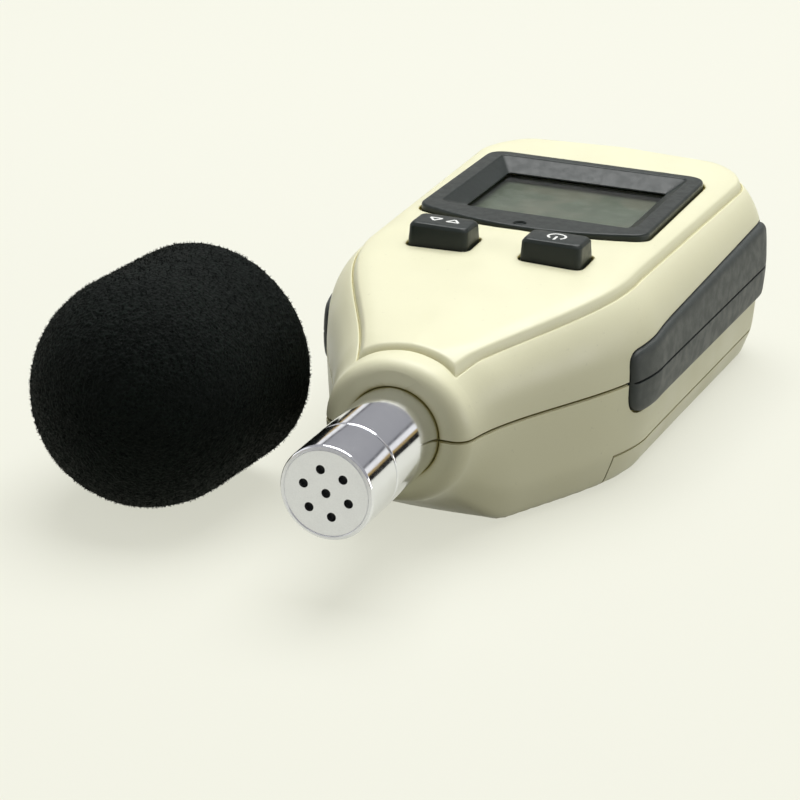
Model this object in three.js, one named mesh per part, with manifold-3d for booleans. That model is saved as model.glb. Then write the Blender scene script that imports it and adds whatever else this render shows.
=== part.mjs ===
// Handheld sound level meter, lying on its back, with its foam windscreen beside it.
// Millimetres. +Z is up out of the display, the microphone points along -Y, +X is the width.
// The origin is on the resting surface, under the middle of the meter.

import * as THREE from "three";
import { mergeVertices } from "three/addons/utils/BufferGeometryUtils.js";
import { ConvexGeometry } from "three/addons/geometries/ConvexGeometry.js";
import Module from "manifold-3d";

const wasm = await Module();
wasm.setup();

// ---------------------------------------------------------------- driving dimensions

// Overall
const LENGTH = 149.4;            // microphone tip to tail
const CASE_WIDTH = 64.6;         // widest, at the tail, without the grips
const THICKNESS = 36.85;         // back face to raised panel
const AXIS_Z = 19.2;             // microphone axis and case parting plane above the back face

// Case
const WALL = 2.2;                // moulded wall
const PARTING_GAP = 0.3;         // seam between the two case halves
const PANEL_STEP = 0.8;          // height of the raised top panel over the shoulder
const NOSE_RADIUS = 12.6;
const NOSE_EDGE = 2.6;           // rounding of the nose's front edge
const NOSE_TOP = 12.4;           // case top above the axis at the nose
const NOSE_BOTTOM = 12.9;        // case bottom below the axis at the nose
const FLARE_LENGTH = 51;         // nose to full width
const BELLY_RUN = 15;            // nose to full depth
const TAIL_TAPER = 1.7;          // how much each side still widens towards the tail
const TAIL_CORNER = 13;          // plan radius of the tail's corners
const TAIL_EDGE = 3.6;           // rounding of the tail's top and bottom edges
const SIDE_DRAFT = 1;            // how much each side leans in towards the back
const BELLY_INSET = 2;           // back face edge inside the belly crease
const CREASE_HEIGHT = 5.9;       // belly crease above the back face
const SHOULDER_WIDTH = 5.4;      // flat top's edge, from the side inwards
const SHOULDER_DROP = 0.7;       // flat top's edge below the crown
const PANEL_INSET = 5.2;         // raised panel's edge, from the side inwards
const PANEL_START = 5.4;         // panel's front points, behind the nose face
const PANEL_HOLLOW = 1.4;        // how far the panel's front edge is hollowed over the nose

// Microphone
const MIC_RADIUS = 8;
const MIC_REACH = 27.6;          // nose face to tip
const CAP_LENGTH = 10;
const CAP_WALL = 0.8;
const TIP_EDGE = 0.7;
const HOLE_RADIUS = 0.78;
const HOLE_CIRCLE = 4;
const HOLE_COUNT = 6;            // round the centre hole
const HOLE_TURN = 1.82;          // radians from +X to the first hole
const CAPSULE_RADIUS = 4.9;
const CAPSULE_LENGTH = 7;
const CAPSULE_SETBACK = 2.2;     // capsule behind the tip
const HOLDER_LENGTH = 12;
const CAP_FACE = 1;              // thickness of the pierced face
const MESH_THICK = 0.5;
const TUBE_IN_NOSE = 13.5;
const BUSH_LENGTH = 9.5;
const BUSH_WALL = 1.9;           // microphone's surface to the bush's seat
const NOSE_LIP = 1.5;            // nose wall in front of the bush
const MOUTH_DEPTH = 0.5;         // chamfer round the microphone's bore

// Buttons
const BUTTON_WIDTH = 11.4;
const BUTTON_DEPTH = 7.4;
const BUTTON_HEIGHT = 3.5;       // above the panel
const BUTTON_X = 10.65;
const BUTTON_Y = 1.4;
const BUTTON_TRAVEL = 0.6;
const BUTTON_LIP = 0.8;
const STEM_RADIUS = 2.2;

// Display
const BEZEL_HALF_WIDTH = 22.2;
const BEZEL_NEAR = 17.8;         // near corners, along Y
const BEZEL_BOW = 5.2;           // how far the near edge bows towards the microphone
const BEZEL_FAR = 57;
const BEZEL_RISE = 0.6;          // above the panel
const BEZEL_FLANGE = 1.8;
const COLLAR_MARGIN = 2.2;       // bezel edge to the collar that goes through the panel
const BADGE_X = -0.9;            // oval recess in the bezel's near edge
const BADGE_Y = 14.4;
const BADGE_SIZE = [1.35, 1.4, 0.8];         // half width, half length and depth
const THROAT_TOP = [18.9, 20.4, 54.6];       // half width, near and far edge at the rim
const THROAT_BOTTOM = [16.1, 25.6, 50.2];    // the same, at the window
const WINDOW_DEPTH = 2.4;        // window top below the bezel's rim
const WINDOW_THICK = 1;
const LCD_THICK = 2.4;
const LCD_MARGIN = 2.6;          // display glass past the window opening
const BACKLIGHT_THICK = 2;

// Board
const BOARD_THICK = 1.6;
const BOARD_TOP = 22.9;
const BOARD_HALF_WIDTH = 27;
const BOARD_FRONT = -20;
const BOARD_REAR = 63;
const SWITCH_SIZE = 6;
const SWITCH_HEIGHT = 3.6;
const PLUNGER_RADIUS = 1.6;
const PLUNGER_REACH = 3.6;       // switch top to the underside of the button's stem

// Batteries, three cells side by side
const CELL_RADIUS = 5.2;
const CELL_LENGTH = 44.5;
const CELL_GAP = 0.5;
const CELL_COUNT = 3;
const SPRING_LENGTH = 5;
const SPRING_TURNS = 4;
const SPRING_WIRE = 0.4;         // radius
const SPRING_WIDE = 3.6;         // coil radius at the plate
const SPRING_NARROW = 2.4;       // coil radius at the cell
const CELL_NUB = 0.9;
const CELL_NUB_RADIUS = 2.6;
const CELL_EDGE = 0.4;
const PLATE_THICK = 0.4;
const PLATE_HALF = 4.4;
const LEAD_RADIUS = 0.6;
const LEAD_INSET = 0.65;         // from a plate's outer face to its lead's middle
const LEAD_SLACK = 0.8;          // sideways bend of a battery lead
const BAY_FRONT = -3;
const BAY_WALL = 1.4;

// Battery door
const DOOR_FRONT = -11;
const DOOR_THICK = 1.8;
const DOOR_TAB = 3.2;            // length past the door's front edge
const DOOR_TAB_X = 21;
const DOOR_TAB_HALF = 3;
const DOOR_TAB_ROOT = 6;         // where a tab's foot ends, behind the door's front edge
const DOOR_TAIL_WALL = 5;

// Grips
const GRIP_FRONT = -8.8;
const GRIP_REAR = 68;
const GRIP_TOP = 8.6;            // above the axis
const GRIP_BOTTOM = 6.4;         // below the axis
const GRIP_FALL = 3;             // how much lower the top edge is at the front
const GRIP_PROUD = 1.1;
const GRIP_DEPTH = 1.2;
const GRIP_BACKING = 1.4;        // case wall kept behind a grip's pocket

// Fasteners
const SCREW_RADIUS = 1.1;
const SCREW_HEAD = 2.1;
const SCREW_HEAD_HEIGHT = 1.4;
const CROSS_HALF = 1.3;          // half length of the driver's cross
const CROSS_WIDTH = 0.6;
const CROSS_DEPTH = 0.6;
const SCREW_BITE = 7;            // how far a screw runs up into its boss
const BOSS_RADIUS = 3;

// Windscreen
const FOAM_RADIUS = 20.4;
const FOAM_LENGTH = 43.5;
const FOAM_EDGE = 5;
const FOAM_BORE = 7.6;
const FOAM_BORE_DEPTH = 26;
const FOAM_ASIDE = 12.2;         // from the case's side to the windscreen's middle
const FOAM_AHEAD = 1;            // from the nose to the windscreen's middle
const FOAM_YAW = THREE.MathUtils.degToRad(-5);

// Clearances
const FIT = 0.3;                 // between pieces that seat on each other
const SLIDE = 0.35;              // round a moving piece

// ---------------------------------------------------------------- derived places

const TIP_Y = -LENGTH / 2;
const TAIL_Y = LENGTH / 2;
const NOSE_Y = TIP_Y + MIC_REACH;
const CASE_TOP = THICKNESS - PANEL_STEP;
const CEILING = CASE_TOP - WALL;
const PARTING_TOP = AXIS_Z + PARTING_GAP / 2;
const PARTING_BOTTOM = AXIS_Z - PARTING_GAP / 2;
const RIM_Z = THICKNESS + BEZEL_RISE;
const WINDOW_TOP = RIM_Z - WINDOW_DEPTH - FIT;
const LCD_TOP = WINDOW_TOP - WINDOW_THICK - FIT;
const BACKLIGHT_TOP = LCD_TOP - LCD_THICK - FIT;
const BOARD_BOTTOM = BOARD_TOP - BOARD_THICK;
const NOSE_BORE = MIC_RADIUS + 0.5;
const BUSH_SEAT = MIC_RADIUS + BUSH_WALL;
const BUSH_Y = NOSE_Y + MOUTH_DEPTH + NOSE_LIP;
const BUSH_END = BUSH_Y + FIT + BUSH_LENGTH;
const CAVITY_FRONT = BUSH_END + FIT + 2;
const CELL_Z = DOOR_THICK + 0.5 + CELL_RADIUS;
const CELL_PITCH = 2 * CELL_RADIUS + CELL_GAP;
const BAY_HALF = CELL_PITCH * (CELL_COUNT - 1) / 2 + CELL_RADIUS + 0.6;
const BAY_REAR = BAY_FRONT + 2 * (FIT + PLATE_THICK) + CELL_LENGTH + SPRING_LENGTH + 1.5;
const BAY_CEILING = CELL_Z + CELL_RADIUS + 0.7;
const DECK_TOP = CREASE_HEIGHT + WALL;
const BIG = 400;

// ---------------------------------------------------------------- materials

const material = (color, roughness, metalness = 0) =>
  new THREE.MeshStandardMaterial({ color, roughness, metalness });
const IVORY = material(0xece8cf, 0.42);
const CHARCOAL = material(0x3a3d40, 0.5);
const RUBBER = material(0x33363a, 0.7);
const CHROME = material(0xd8dadf, 0.08, 1);
const CLEAR = material(0x9aa39a, 0.06);
const LCD_GREY = material(0x7d8778, 0.2);
const MILKY = material(0xe6e8e2, 0.5);
const STRIP_GREY = material(0xb9bcc0, 0.6);
const BOARD_GREEN = material(0x1f5c3c, 0.45);
const CHIP_BLACK = material(0x17181a, 0.5);
const STEEL = material(0xb9bdc2, 0.3, 1);
const NICKEL = material(0xc8c9c4, 0.25, 1);
const CELL_JACKET = material(0x2f5f8f, 0.35);
const FOAM = material(0x141615, 0.98);
const WIRE_RED = material(0xa3201c, 0.5);
const WIRE_BLACK = material(0x1a1a1b, 0.5);
const CAPACITOR_BLUE = material(0x24365e, 0.4);
const MESH_GREY = material(0x55585a, 0.8);
const NYLON = material(0xd9d7cc, 0.55);

// ---------------------------------------------------------------- solids and booleans

// Turns a closed geometry, placed by matrix, into a solid for cutting and joining.
function solid(geometry, matrix = new THREE.Matrix4()) {
  let g = geometry.clone();
  for (const name of Object.keys(g.attributes)) {
    if (name !== "position") {
      g.deleteAttribute(name);
    }
  }
  g.applyMatrix4(matrix);
  g = mergeVertices(g, 1e-4);
  return new wasm.Manifold(new wasm.Mesh({
    numProp: 3,
    vertProperties: new Float32Array(g.attributes.position.array),
    triVerts: new Uint32Array(g.index.array),
  }));
}

function geometryOf(body) {
  const mesh = body.getMesh();
  const g = new THREE.BufferGeometry();
  g.setAttribute("position", new THREE.BufferAttribute(new Float32Array(mesh.vertProperties), 3));
  g.setIndex(new THREE.BufferAttribute(new Uint32Array(mesh.triVerts), 1));
  g.computeVertexNormals();
  return g;
}

const move = (x, y, z) => new THREE.Matrix4().makeTranslation(x, y, z);
const ALONG_Y = new THREE.Matrix4();       // the lathe and cylinder axis is +Y already
const ALONG_Z = new THREE.Matrix4().makeRotationX(Math.PI / 2);

// Box between two corners.
function box(x0, x1, y0, y1, z0, z1) {
  const g = new THREE.BoxGeometry(x1 - x0, y1 - y0, z1 - z0);
  return solid(g, move((x0 + x1) / 2, (y0 + y1) / 2, (z0 + z1) / 2));
}

// Upright cylinder between two heights.
function post(x, y, radius, z0, z1, sides = 20) {
  const g = new THREE.CylinderGeometry(radius, radius, z1 - z0, sides);
  return solid(g, move(x, y, (z0 + z1) / 2).multiply(ALONG_Z));
}

// Cylinder along Y between two places, on the microphone axis unless told otherwise.
function rod(radius, y0, y1, x = 0, z = AXIS_Z, sides = 40) {
  const g = new THREE.CylinderGeometry(radius, radius, y1 - y0, sides);
  return solid(g, move(x, (y0 + y1) / 2, z).multiply(ALONG_Y));
}

// Solid of revolution about a line along Y. The profile is [radius, y] and closes on itself.
function turned(profile, x = 0, z = AXIS_Z, sides = 40) {
  const points = [...profile, profile[0]].map(([r, y]) => new THREE.Vector2(Math.max(r, 0), y));
  return solid(new THREE.LatheGeometry(points, sides), move(x, 0, z));
}

// Plan outline extruded between two heights.
function prism(shape, z0, z1, curveSegments = 8) {
  const g = new THREE.ExtrudeGeometry(shape, { depth: z1 - z0, bevelEnabled: false, curveSegments });
  return solid(g, move(0, 0, z0));
}

const hull = (points) => solid(new ConvexGeometry(points.map((p) => new THREE.Vector3(...p))));

// Tube of a given radius along a route.
function tube(points, radius, steps, sides = 8) {
  const curve = new THREE.CatmullRomCurve3(points.map((p) => new THREE.Vector3(...p)));
  const ring = new THREE.Shape();
  for (let i = 0; i < sides; i += 1) {
    const turn = 2 * Math.PI * i / sides;
    const at = [radius * Math.cos(turn), radius * Math.sin(turn)];
    if (i === 0) {
      ring.moveTo(...at);
    } else {
      ring.lineTo(...at);
    }
  }
  ring.closePath();
  return new THREE.ExtrudeGeometry(ring, { steps, extrudePath: curve, bevelEnabled: false });
}

// ---------------------------------------------------------------- the case's outer form

const clamp01 = (t) => Math.min(1, Math.max(0, t));
const ease = (t) => {
  const c = clamp01(t);
  return c * c * (3 - 2 * c);
};

// Quarter-round falloff near an edge: 0 in the clear, radius at the very edge.
function rounding(distance, radius) {
  if (distance >= radius) {
    return 0;
  }
  const reach = radius - Math.max(0, distance);
  return radius - Math.sqrt(Math.max(0, radius * radius - reach * reach));
}

// Half width, top and bottom of the case at a place along Y, all measured from the axis.
function extents(y) {
  const run = y - NOSE_Y;
  const caseLength = TAIL_Y - NOSE_Y;
  const full = CASE_WIDTH / 2 - TAIL_TAPER;
  const flare = ease((run + 2.6) / FLARE_LENGTH);
  const taper = TAIL_TAPER * clamp01((run - FLARE_LENGTH) / (caseLength - FLARE_LENGTH - TAIL_CORNER));
  const lift = ease((run - 2.4) / (FLARE_LENGTH - 1));
  const nose = rounding(run, NOSE_EDGE);
  const tail = rounding(TAIL_Y - y, TAIL_EDGE);
  const corner = rounding(TAIL_Y - y, TAIL_CORNER);
  return {
    width: NOSE_RADIUS + (full - NOSE_RADIUS) * flare + taper - nose - corner,
    top: NOSE_TOP + (CASE_TOP - AXIS_Z - NOSE_TOP) * lift - nose - tail,
    bottom: NOSE_BOTTOM + (AXIS_Z - NOSE_BOTTOM) * ease((run - 1) / BELLY_RUN) - nose - tail,
    squareTop: ease((run - 2.5) / 9),
    squareBottom: ease((run - 1) / BELLY_RUN),
  };
}

// Points along a polyline whose inner corners are rounded, with cuts the length taken off each side.
function rounded(corners, cuts, samples) {
  const out = [corners[0]];
  for (let i = 1; i < corners.length - 1; i += 1) {
    const [a, b, c] = [corners[i - 1], corners[i], corners[i + 1]].map((p) => new THREE.Vector2(...p));
    const cut = Math.min(cuts[i - 1], a.distanceTo(b) * 0.48, b.distanceTo(c) * 0.48);
    const start = b.clone().add(a.sub(b).setLength(cut));
    const end = b.clone().add(c.sub(b).setLength(cut));
    const bend = new THREE.QuadraticBezierCurve(start, b, end);
    bend.getPoints(samples).forEach((p) => out.push([p.x, p.y]));
  }
  out.push(corners.at(-1));
  return out;
}

// Right-hand half of the cross-section, from the top centre round to the bottom centre, as [x, z]
// from the axis. It goes from a circle at the nose to the square-shouldered body.
function halfSection(y, inset, samples) {
  const { width, top, bottom, squareTop, squareBottom } = extents(y);
  const w = width - inset;
  const t = top - inset;
  const b = bottom - inset;
  const creaseZ = -b * (AXIS_Z - CREASE_HEIGHT) / AXIS_Z;
  const corners = [
    [0, t],
    [w - SHOULDER_WIDTH, t - SHOULDER_DROP],
    [w - 0.6, t * 0.55],
    [w, 0],
    [w - SIDE_DRAFT, creaseZ],
    [w - SIDE_DRAFT - BELLY_INSET, -b],
    [0, -b],
  ];
  const path = rounded(corners, [5, 4, 3, 1, 1.4], samples);
  const flat = (from, to, count) => Array.from({ length: count }, (_, i) => {
    const u = (i + 1) / (count + 1);
    return [from[0] + (to[0] - from[0]) * u, from[1] + (to[1] - from[1]) * u];
  });
  const ring = [
    path[0],
    ...flat(path[0], path[1], 4),
    ...path.slice(1, -1),
    ...flat(path.at(-2), path.at(-1), 3),
    path.at(-1),
  ];
  return ring.map(([x, z]) => {
    const reach = z >= 0 ? t : b;
    const turn = Math.atan2(z / reach, x / w);
    const circle = [w * Math.cos(turn), reach * Math.sin(turn)];
    const square = z >= 0 ? squareTop : squareBottom;
    return [
      circle[0] + (x - circle[0]) * square,
      circle[1] + (z - circle[1]) * square,
    ];
  });
}

// Closed loft through sections at the given stations, raised by lift.
function loft(stations, inset, samples, lift = 0) {
  const positions = [];
  const index = [];
  const rings = stations.map((y) => {
    const half = halfSection(y, inset, samples);
    const left = half.slice(1, -1).reverse().map(([x, z]) => [-x, z]);
    return [...half, ...left].map(([x, z]) => [x, y, z + AXIS_Z + lift]);
  });
  const count = rings[0].length;
  rings.forEach((ring) => ring.forEach((p) => positions.push(...p)));
  for (let k = 0; k < rings.length - 1; k += 1) {
    for (let i = 0; i < count; i += 1) {
      const [a, b] = [k * count + i, k * count + (i + 1) % count];
      const [c, d] = [a + count, b + count];
      index.push(a, b, c, b, d, c);
    }
  }
  const capFrom = (first, outward) => {
    const centre = positions.length / 3;
    positions.push(0, stations[first === 0 ? 0 : stations.length - 1], AXIS_Z + lift);
    for (let i = 0; i < count; i += 1) {
      const [a, b] = [first + i, first + (i + 1) % count];
      index.push(...(outward ? [centre, a, b] : [centre, b, a]));
    }
  };
  capFrom(0, false);
  capFrom((rings.length - 1) * count, true);
  const g = new THREE.BufferGeometry();
  g.setAttribute("position", new THREE.Float32BufferAttribute(positions, 3));
  g.setIndex(index);
  return solid(g);
}

// Places along Y where sections are taken: close together at the rounded ends.
function stationsBetween(front, rear, middle) {
  const out = [];
  if (front === NOSE_Y) {
    for (let i = 0; i < 4; i += 1) {
      out.push(NOSE_Y + NOSE_EDGE * (1 - Math.cos(Math.PI * i / 8)));
    }
  }
  const bodyStart = out.length ? NOSE_Y + NOSE_EDGE : front;
  const flareEnd = NOSE_Y + FLARE_LENGTH;
  for (let i = 0; i < middle; i += 1) {
    out.push(bodyStart + (flareEnd - bodyStart) * i / middle);
  }
  out.push(flareEnd);
  const cornerStart = TAIL_Y - TAIL_CORNER;
  const turns = middle > 8 ? 6 : 3;
  for (let i = 0; i <= turns; i += 1) {
    const y = cornerStart + (rear - cornerStart) * Math.sin(Math.PI * i / (2 * turns));
    out.push(y);
  }
  return out;
}

const outerStations = stationsBetween(NOSE_Y, TAIL_Y, 9);
const outerForm = loft(outerStations, 0, 2);
const raisedForm = loft(outerStations, 0, 2, PANEL_STEP);
const innerForm = loft(stationsBetween(CAVITY_FRONT, TAIL_Y - WALL, 5), WALL, 1);

const above = (z) => box(-BIG, BIG, -BIG, BIG, z, BIG);
const below = (z) => box(-BIG, BIG, -BIG, BIG, -BIG, z);

// Plan outline of the raised panel: a hollow arc over the nose between two points, then sides
// that follow the case's, and on past the tail.
function panelShape() {
  const start = NOSE_Y + PANEL_START;
  const steps = 9;
  const side = [];
  for (let i = 0; i <= steps; i += 1) {
    const y = start + (TAIL_Y - TAIL_CORNER - start) * i / steps;
    side.push(new THREE.Vector2(extents(y).width - PANEL_INSET, y));
  }
  const mirrored = side.map((p) => new THREE.Vector2(-p.x, p.y)).reverse();
  const [first, last] = [side[0], side.at(-1)];
  const shape = new THREE.Shape([...side, new THREE.Vector2(last.x, TAIL_Y + 5),
    new THREE.Vector2(-last.x, TAIL_Y + 5), ...mirrored]);
  shape.quadraticCurveTo(0, first.y + 2 * PANEL_HOLLOW, first.x, first.y);
  return shape;
}

// ---------------------------------------------------------------- cutters shared by pieces

// Plan outline of the bezel, grown by a clearance.
function bezelShape(by = 0) {
  const [w, near, far, bow] = [BEZEL_HALF_WIDTH + by, BEZEL_NEAR - by, BEZEL_FAR + by, BEZEL_BOW];
  const corner = 4.5;
  const shape = new THREE.Shape();
  shape.moveTo(-w, near);
  shape.quadraticCurveTo(0, near - 2 * bow, w, near);
  shape.lineTo(w, far - corner);
  shape.quadraticCurveTo(w, far, w - corner, far);
  shape.lineTo(-w + corner, far);
  shape.quadraticCurveTo(-w, far, -w, far - corner);
  shape.closePath();
  return shape;
}

const collar = {
  half: BEZEL_HALF_WIDTH - COLLAR_MARGIN,
  near: BEZEL_NEAR + 0.6,
  far: BEZEL_FAR - COLLAR_MARGIN,
};
const collarBox = (by, z0, z1) =>
  box(-collar.half - by, collar.half + by, collar.near - by, collar.far + by, z0, z1);

const buttonBox = (x, by, z0, z1) => box(
  x - BUTTON_WIDTH / 2 - by, x + BUTTON_WIDTH / 2 + by,
  BUTTON_Y - BUTTON_DEPTH / 2 - by, BUTTON_Y + BUTTON_DEPTH / 2 + by, z0, z1,
);

// Side view outline of a grip, in [y, z from the axis], grown by a clearance.
function gripSolid(side, by, reach) {
  const [f, r, t, b] = [GRIP_FRONT - by, GRIP_REAR + by, GRIP_TOP + by, GRIP_BOTTOM + by];
  const shape = new THREE.Shape();
  shape.moveTo(f, -b * 0.2);
  shape.quadraticCurveTo(f, -b * 0.95, f + 4.5, -b);
  shape.lineTo(r - 5, -b);
  shape.quadraticCurveTo(r, -b, r, -b * 0.4);
  shape.lineTo(r, t - 5);
  shape.quadraticCurveTo(r, t, r - 5, t);
  shape.lineTo(f + 14, t - GRIP_FALL * 0.7);
  shape.lineTo(f + 3.2, t - GRIP_FALL);
  shape.quadraticCurveTo(f, t - GRIP_FALL, f, t - GRIP_FALL - 2.6);
  shape.closePath();
  const g = new THREE.ExtrudeGeometry(shape, { depth: reach, bevelEnabled: false, curveSegments: 5 });
  const turn = new THREE.Matrix4().makeBasis(
    new THREE.Vector3(0, 1, 0), new THREE.Vector3(0, 0, 1), new THREE.Vector3(1, 0, 0));
  return solid(g, move(side > 0 ? 0 : -reach, 0, AXIS_Z).multiply(turn));
}

// ---------------------------------------------------------------- screws and bosses

const boardScrewSpots = [[-22.5, -8], [22.5, -8], [-24, 60], [24, 60]];
const caseScrewSpots = [[-13, -24], [13, -24], [-25.5, 55], [25.5, 55]];
const caseScrewFloor = (y) => (y < DOOR_FRONT ? 3.2 : DECK_TOP + 1.2);

// ---------------------------------------------------------------- case halves and door

const plug = (list) => list.reduce((a, b) => a.add(b));

function frontShell() {
  const panel = raisedForm.intersect(prism(panelShape(), AXIS_Z, THICKNESS + 10, 6));
  let body = outerForm.add(panel).intersect(above(PARTING_TOP));
  body = body.subtract(innerForm);
  const bosses = [
    ...boardScrewSpots.map(([x, y]) => post(x, y, BOSS_RADIUS - 0.2, BOARD_TOP + FIT, CEILING + 1)),
    ...caseScrewSpots.map(([x, y]) => post(x, y, BOSS_RADIUS, PARTING_TOP, CEILING - 0.5)),
  ];
  const grips = [-1, 1].map((side) => gripBacking(side).intersect(above(PARTING_TOP)));
  body = body.add(plug([...bosses, ...grips]).intersect(outerForm));
  body = body.subtract(prism(bezelShape(FIT), RIM_Z - BEZEL_FLANGE - FIT, RIM_Z + 5, 10));
  body = body.subtract(collarBox(FIT, CEILING - 5, RIM_Z));
  for (const side of [-1, 1]) {
    body = body.subtract(buttonBox(side * BUTTON_X, SLIDE, CEILING - 1, RIM_Z + 5));
    body = body.subtract(buttonBox(side * BUTTON_X, BUTTON_LIP + SLIDE, CEILING - 6, CEILING));
    body = body.subtract(gripPocket(side));
  }
  for (const [x, y] of boardScrewSpots) {
    body = body.subtract(post(x, y, SCREW_RADIUS + FIT, BOARD_TOP - 1, BOARD_TOP + SCREW_BITE + 1, 12));
  }
  for (const [x, y] of caseScrewSpots) {
    body = body.subtract(post(x, y, SCREW_RADIUS + FIT, AXIS_Z - 1, AXIS_Z + SCREW_BITE + 1, 12));
  }
  return body.subtract(noseBores());
}

function rearShell() {
  const bayOuter = box(-BAY_HALF - BAY_WALL, BAY_HALF + BAY_WALL,
    BAY_FRONT - BAY_WALL, BAY_REAR + BAY_WALL, CREASE_HEIGHT + FIT / 2, BAY_CEILING + BAY_WALL);
  const bayInner = box(-BAY_HALF, BAY_HALF, BAY_FRONT, BAY_REAR, -1, BAY_CEILING);
  const deck = box(-BIG, BIG, DOOR_FRONT - WALL, BIG, -1, DECK_TOP);
  let body = outerForm.intersect(below(PARTING_BOTTOM));
  body = body.subtract(innerForm.subtract(deck));
  const posts = caseScrewSpots.map(([x, y]) => post(x, y, BOSS_RADIUS, 1, PARTING_BOTTOM));
  const grips = [-1, 1].map((side) => gripBacking(side).intersect(below(PARTING_BOTTOM)));
  body = body.add(plug([bayOuter, ...posts, ...grips]).intersect(outerForm));
  body = body.subtract(bayInner);
  body = body.subtract(box(-BIG, BIG, DOOR_FRONT, BIG, -1, CREASE_HEIGHT + FIT / 2));
  for (const side of [-1, 1]) {
    body = body.subtract(doorTab(side, FIT));
    body = body.subtract(gripPocket(side));
    body = body.subtract(leadHole(side));
  }
  for (const [x, y] of caseScrewSpots) {
    const floor = caseScrewFloor(y);
    body = body.subtract(post(x, y, SCREW_HEAD + FIT, -1, floor, 14));
    body = body.subtract(post(x, y, SCREW_RADIUS + FIT, -1, AXIS_Z + 1, 12));
  }
  return body.subtract(noseBores());
}

function noseBores() {
  const mouth = NOSE_BORE + MOUTH_DEPTH;
  const chamfer = turned([
    [0, NOSE_Y - 1], [mouth, NOSE_Y - 1], [mouth, NOSE_Y],
    [NOSE_BORE, NOSE_Y + MOUTH_DEPTH], [0, NOSE_Y + MOUTH_DEPTH],
  ]);
  return plug([
    chamfer,
    rod(NOSE_BORE, NOSE_Y - 1, CAVITY_FRONT + 6),
    rod(BUSH_SEAT, BUSH_Y, BUSH_END + FIT),
  ]);
}

function doorTab(side, by = 0) {
  const [z0, z1] = [DOOR_THICK + 0.9, CREASE_HEIGHT - 0.7];
  const x = side * DOOR_TAB_X;
  return box(x - DOOR_TAB_HALF - by, x + DOOR_TAB_HALF + by,
    DOOR_FRONT - DOOR_TAB - by, DOOR_FRONT + DOOR_TAB_ROOT + by, z0 - by, z1 + by);
}

function batteryDoor() {
  const zone = box(-BIG, BIG, DOOR_FRONT + SLIDE, BIG, -1, CREASE_HEIGHT - FIT / 2);
  const rear = TAIL_Y - DOOR_TAIL_WALL;
  const hollow = innerForm.intersect(box(-BIG, BIG, DOOR_FRONT - 1, rear, DOOR_THICK, BIG));
  const half = DOOR_TAB_X + DOOR_TAB_HALF;
  const wide = box(-half, half, DOOR_FRONT - 1, rear - 1, DOOR_THICK, BIG);
  let body = outerForm.intersect(zone).subtract(hollow.add(wide));
  for (const side of [-1, 1]) {
    const x = side * DOOR_TAB_X;
    const foot = box(x - DOOR_TAB_HALF, x + DOOR_TAB_HALF, DOOR_FRONT + 1, DOOR_FRONT + DOOR_TAB_ROOT,
      DOOR_THICK / 2, DOOR_THICK + 1.2);
    body = body.add(doorTab(side)).add(foot);
  }
  return body;
}

// ---------------------------------------------------------------- grips

// The case's form drawn in or out along X, which the faces of a grip and its pocket follow.
const widened = (by) => outerForm.scale([1 + 2 * by / CASE_WIDTH, 1, 1]);
const GRIP_REACH = CASE_WIDTH;

const gripPocket = (side) => gripSolid(side, FIT, GRIP_REACH).subtract(widened(-GRIP_DEPTH));
const gripBacking = (side) => gripSolid(side, GRIP_BACKING, GRIP_REACH)
  .intersect(outerForm).subtract(widened(-GRIP_DEPTH - GRIP_BACKING));

function grip(side, upper) {
  const blank = gripSolid(side, 0, GRIP_REACH).intersect(widened(GRIP_PROUD));
  const half = upper ? above(PARTING_TOP) : below(PARTING_BOTTOM);
  return blank.subtract(widened(FIT - GRIP_DEPTH)).intersect(half);
}

// ---------------------------------------------------------------- display

function lcdBezel() {
  const flange = prism(bezelShape(), RIM_Z - BEZEL_FLANGE, RIM_Z, 10);
  const body = flange.add(collarBox(0, RIM_Z - WINDOW_DEPTH, RIM_Z - 0.5));
  const ringPoints = ([half, near, far], z) => {
    const cut = 1.6;
    return [
      [-half + cut, near, z], [half - cut, near, z], [half, near + cut, z], [half, far - cut, z],
      [half - cut, far, z], [-half + cut, far, z], [-half, far - cut, z], [-half, near + cut, z],
    ];
  };
  const throat = hull([
    ...ringPoints(THROAT_TOP, RIM_Z + 0.01),
    ...ringPoints(THROAT_BOTTOM, RIM_Z - WINDOW_DEPTH - 0.01),
  ]);
  const badge = solid(new THREE.CylinderGeometry(1, 1, 1, 16),
    move(BADGE_X, BADGE_Y, RIM_Z).multiply(ALONG_Z)
      .multiply(new THREE.Matrix4().makeScale(BADGE_SIZE[0], BADGE_SIZE[2], BADGE_SIZE[1])));
  return body.subtract(throat).subtract(badge);
}

const displayBlock = (margin, z0, z1) => box(
  -THROAT_BOTTOM[0] - margin, THROAT_BOTTOM[0] + margin,
  THROAT_BOTTOM[1] - margin, THROAT_BOTTOM[2] + margin, z0, z1,
);

function lcdHolder() {
  const outer = displayBlock(LCD_MARGIN + FIT + 1.2, BOARD_TOP + FIT, WINDOW_TOP - WINDOW_THICK - FIT);
  const inner = displayBlock(LCD_MARGIN + FIT, BOARD_TOP - 1, WINDOW_TOP + 1);
  return outer.subtract(inner);
}

function connectorStrip(end) {
  const depth = 1.8;
  const edge = end < 0 ? THROAT_BOTTOM[1] - LCD_MARGIN : THROAT_BOTTOM[2] + LCD_MARGIN - depth;
  return box(-THROAT_BOTTOM[0] - 1, THROAT_BOTTOM[0] + 1, edge, edge + depth,
    BOARD_TOP + FIT, LCD_TOP - LCD_THICK - FIT);
}

// ---------------------------------------------------------------- buttons and switches

const STEM_BOTTOM = BOARD_TOP + SWITCH_HEIGHT + PLUNGER_REACH;

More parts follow.
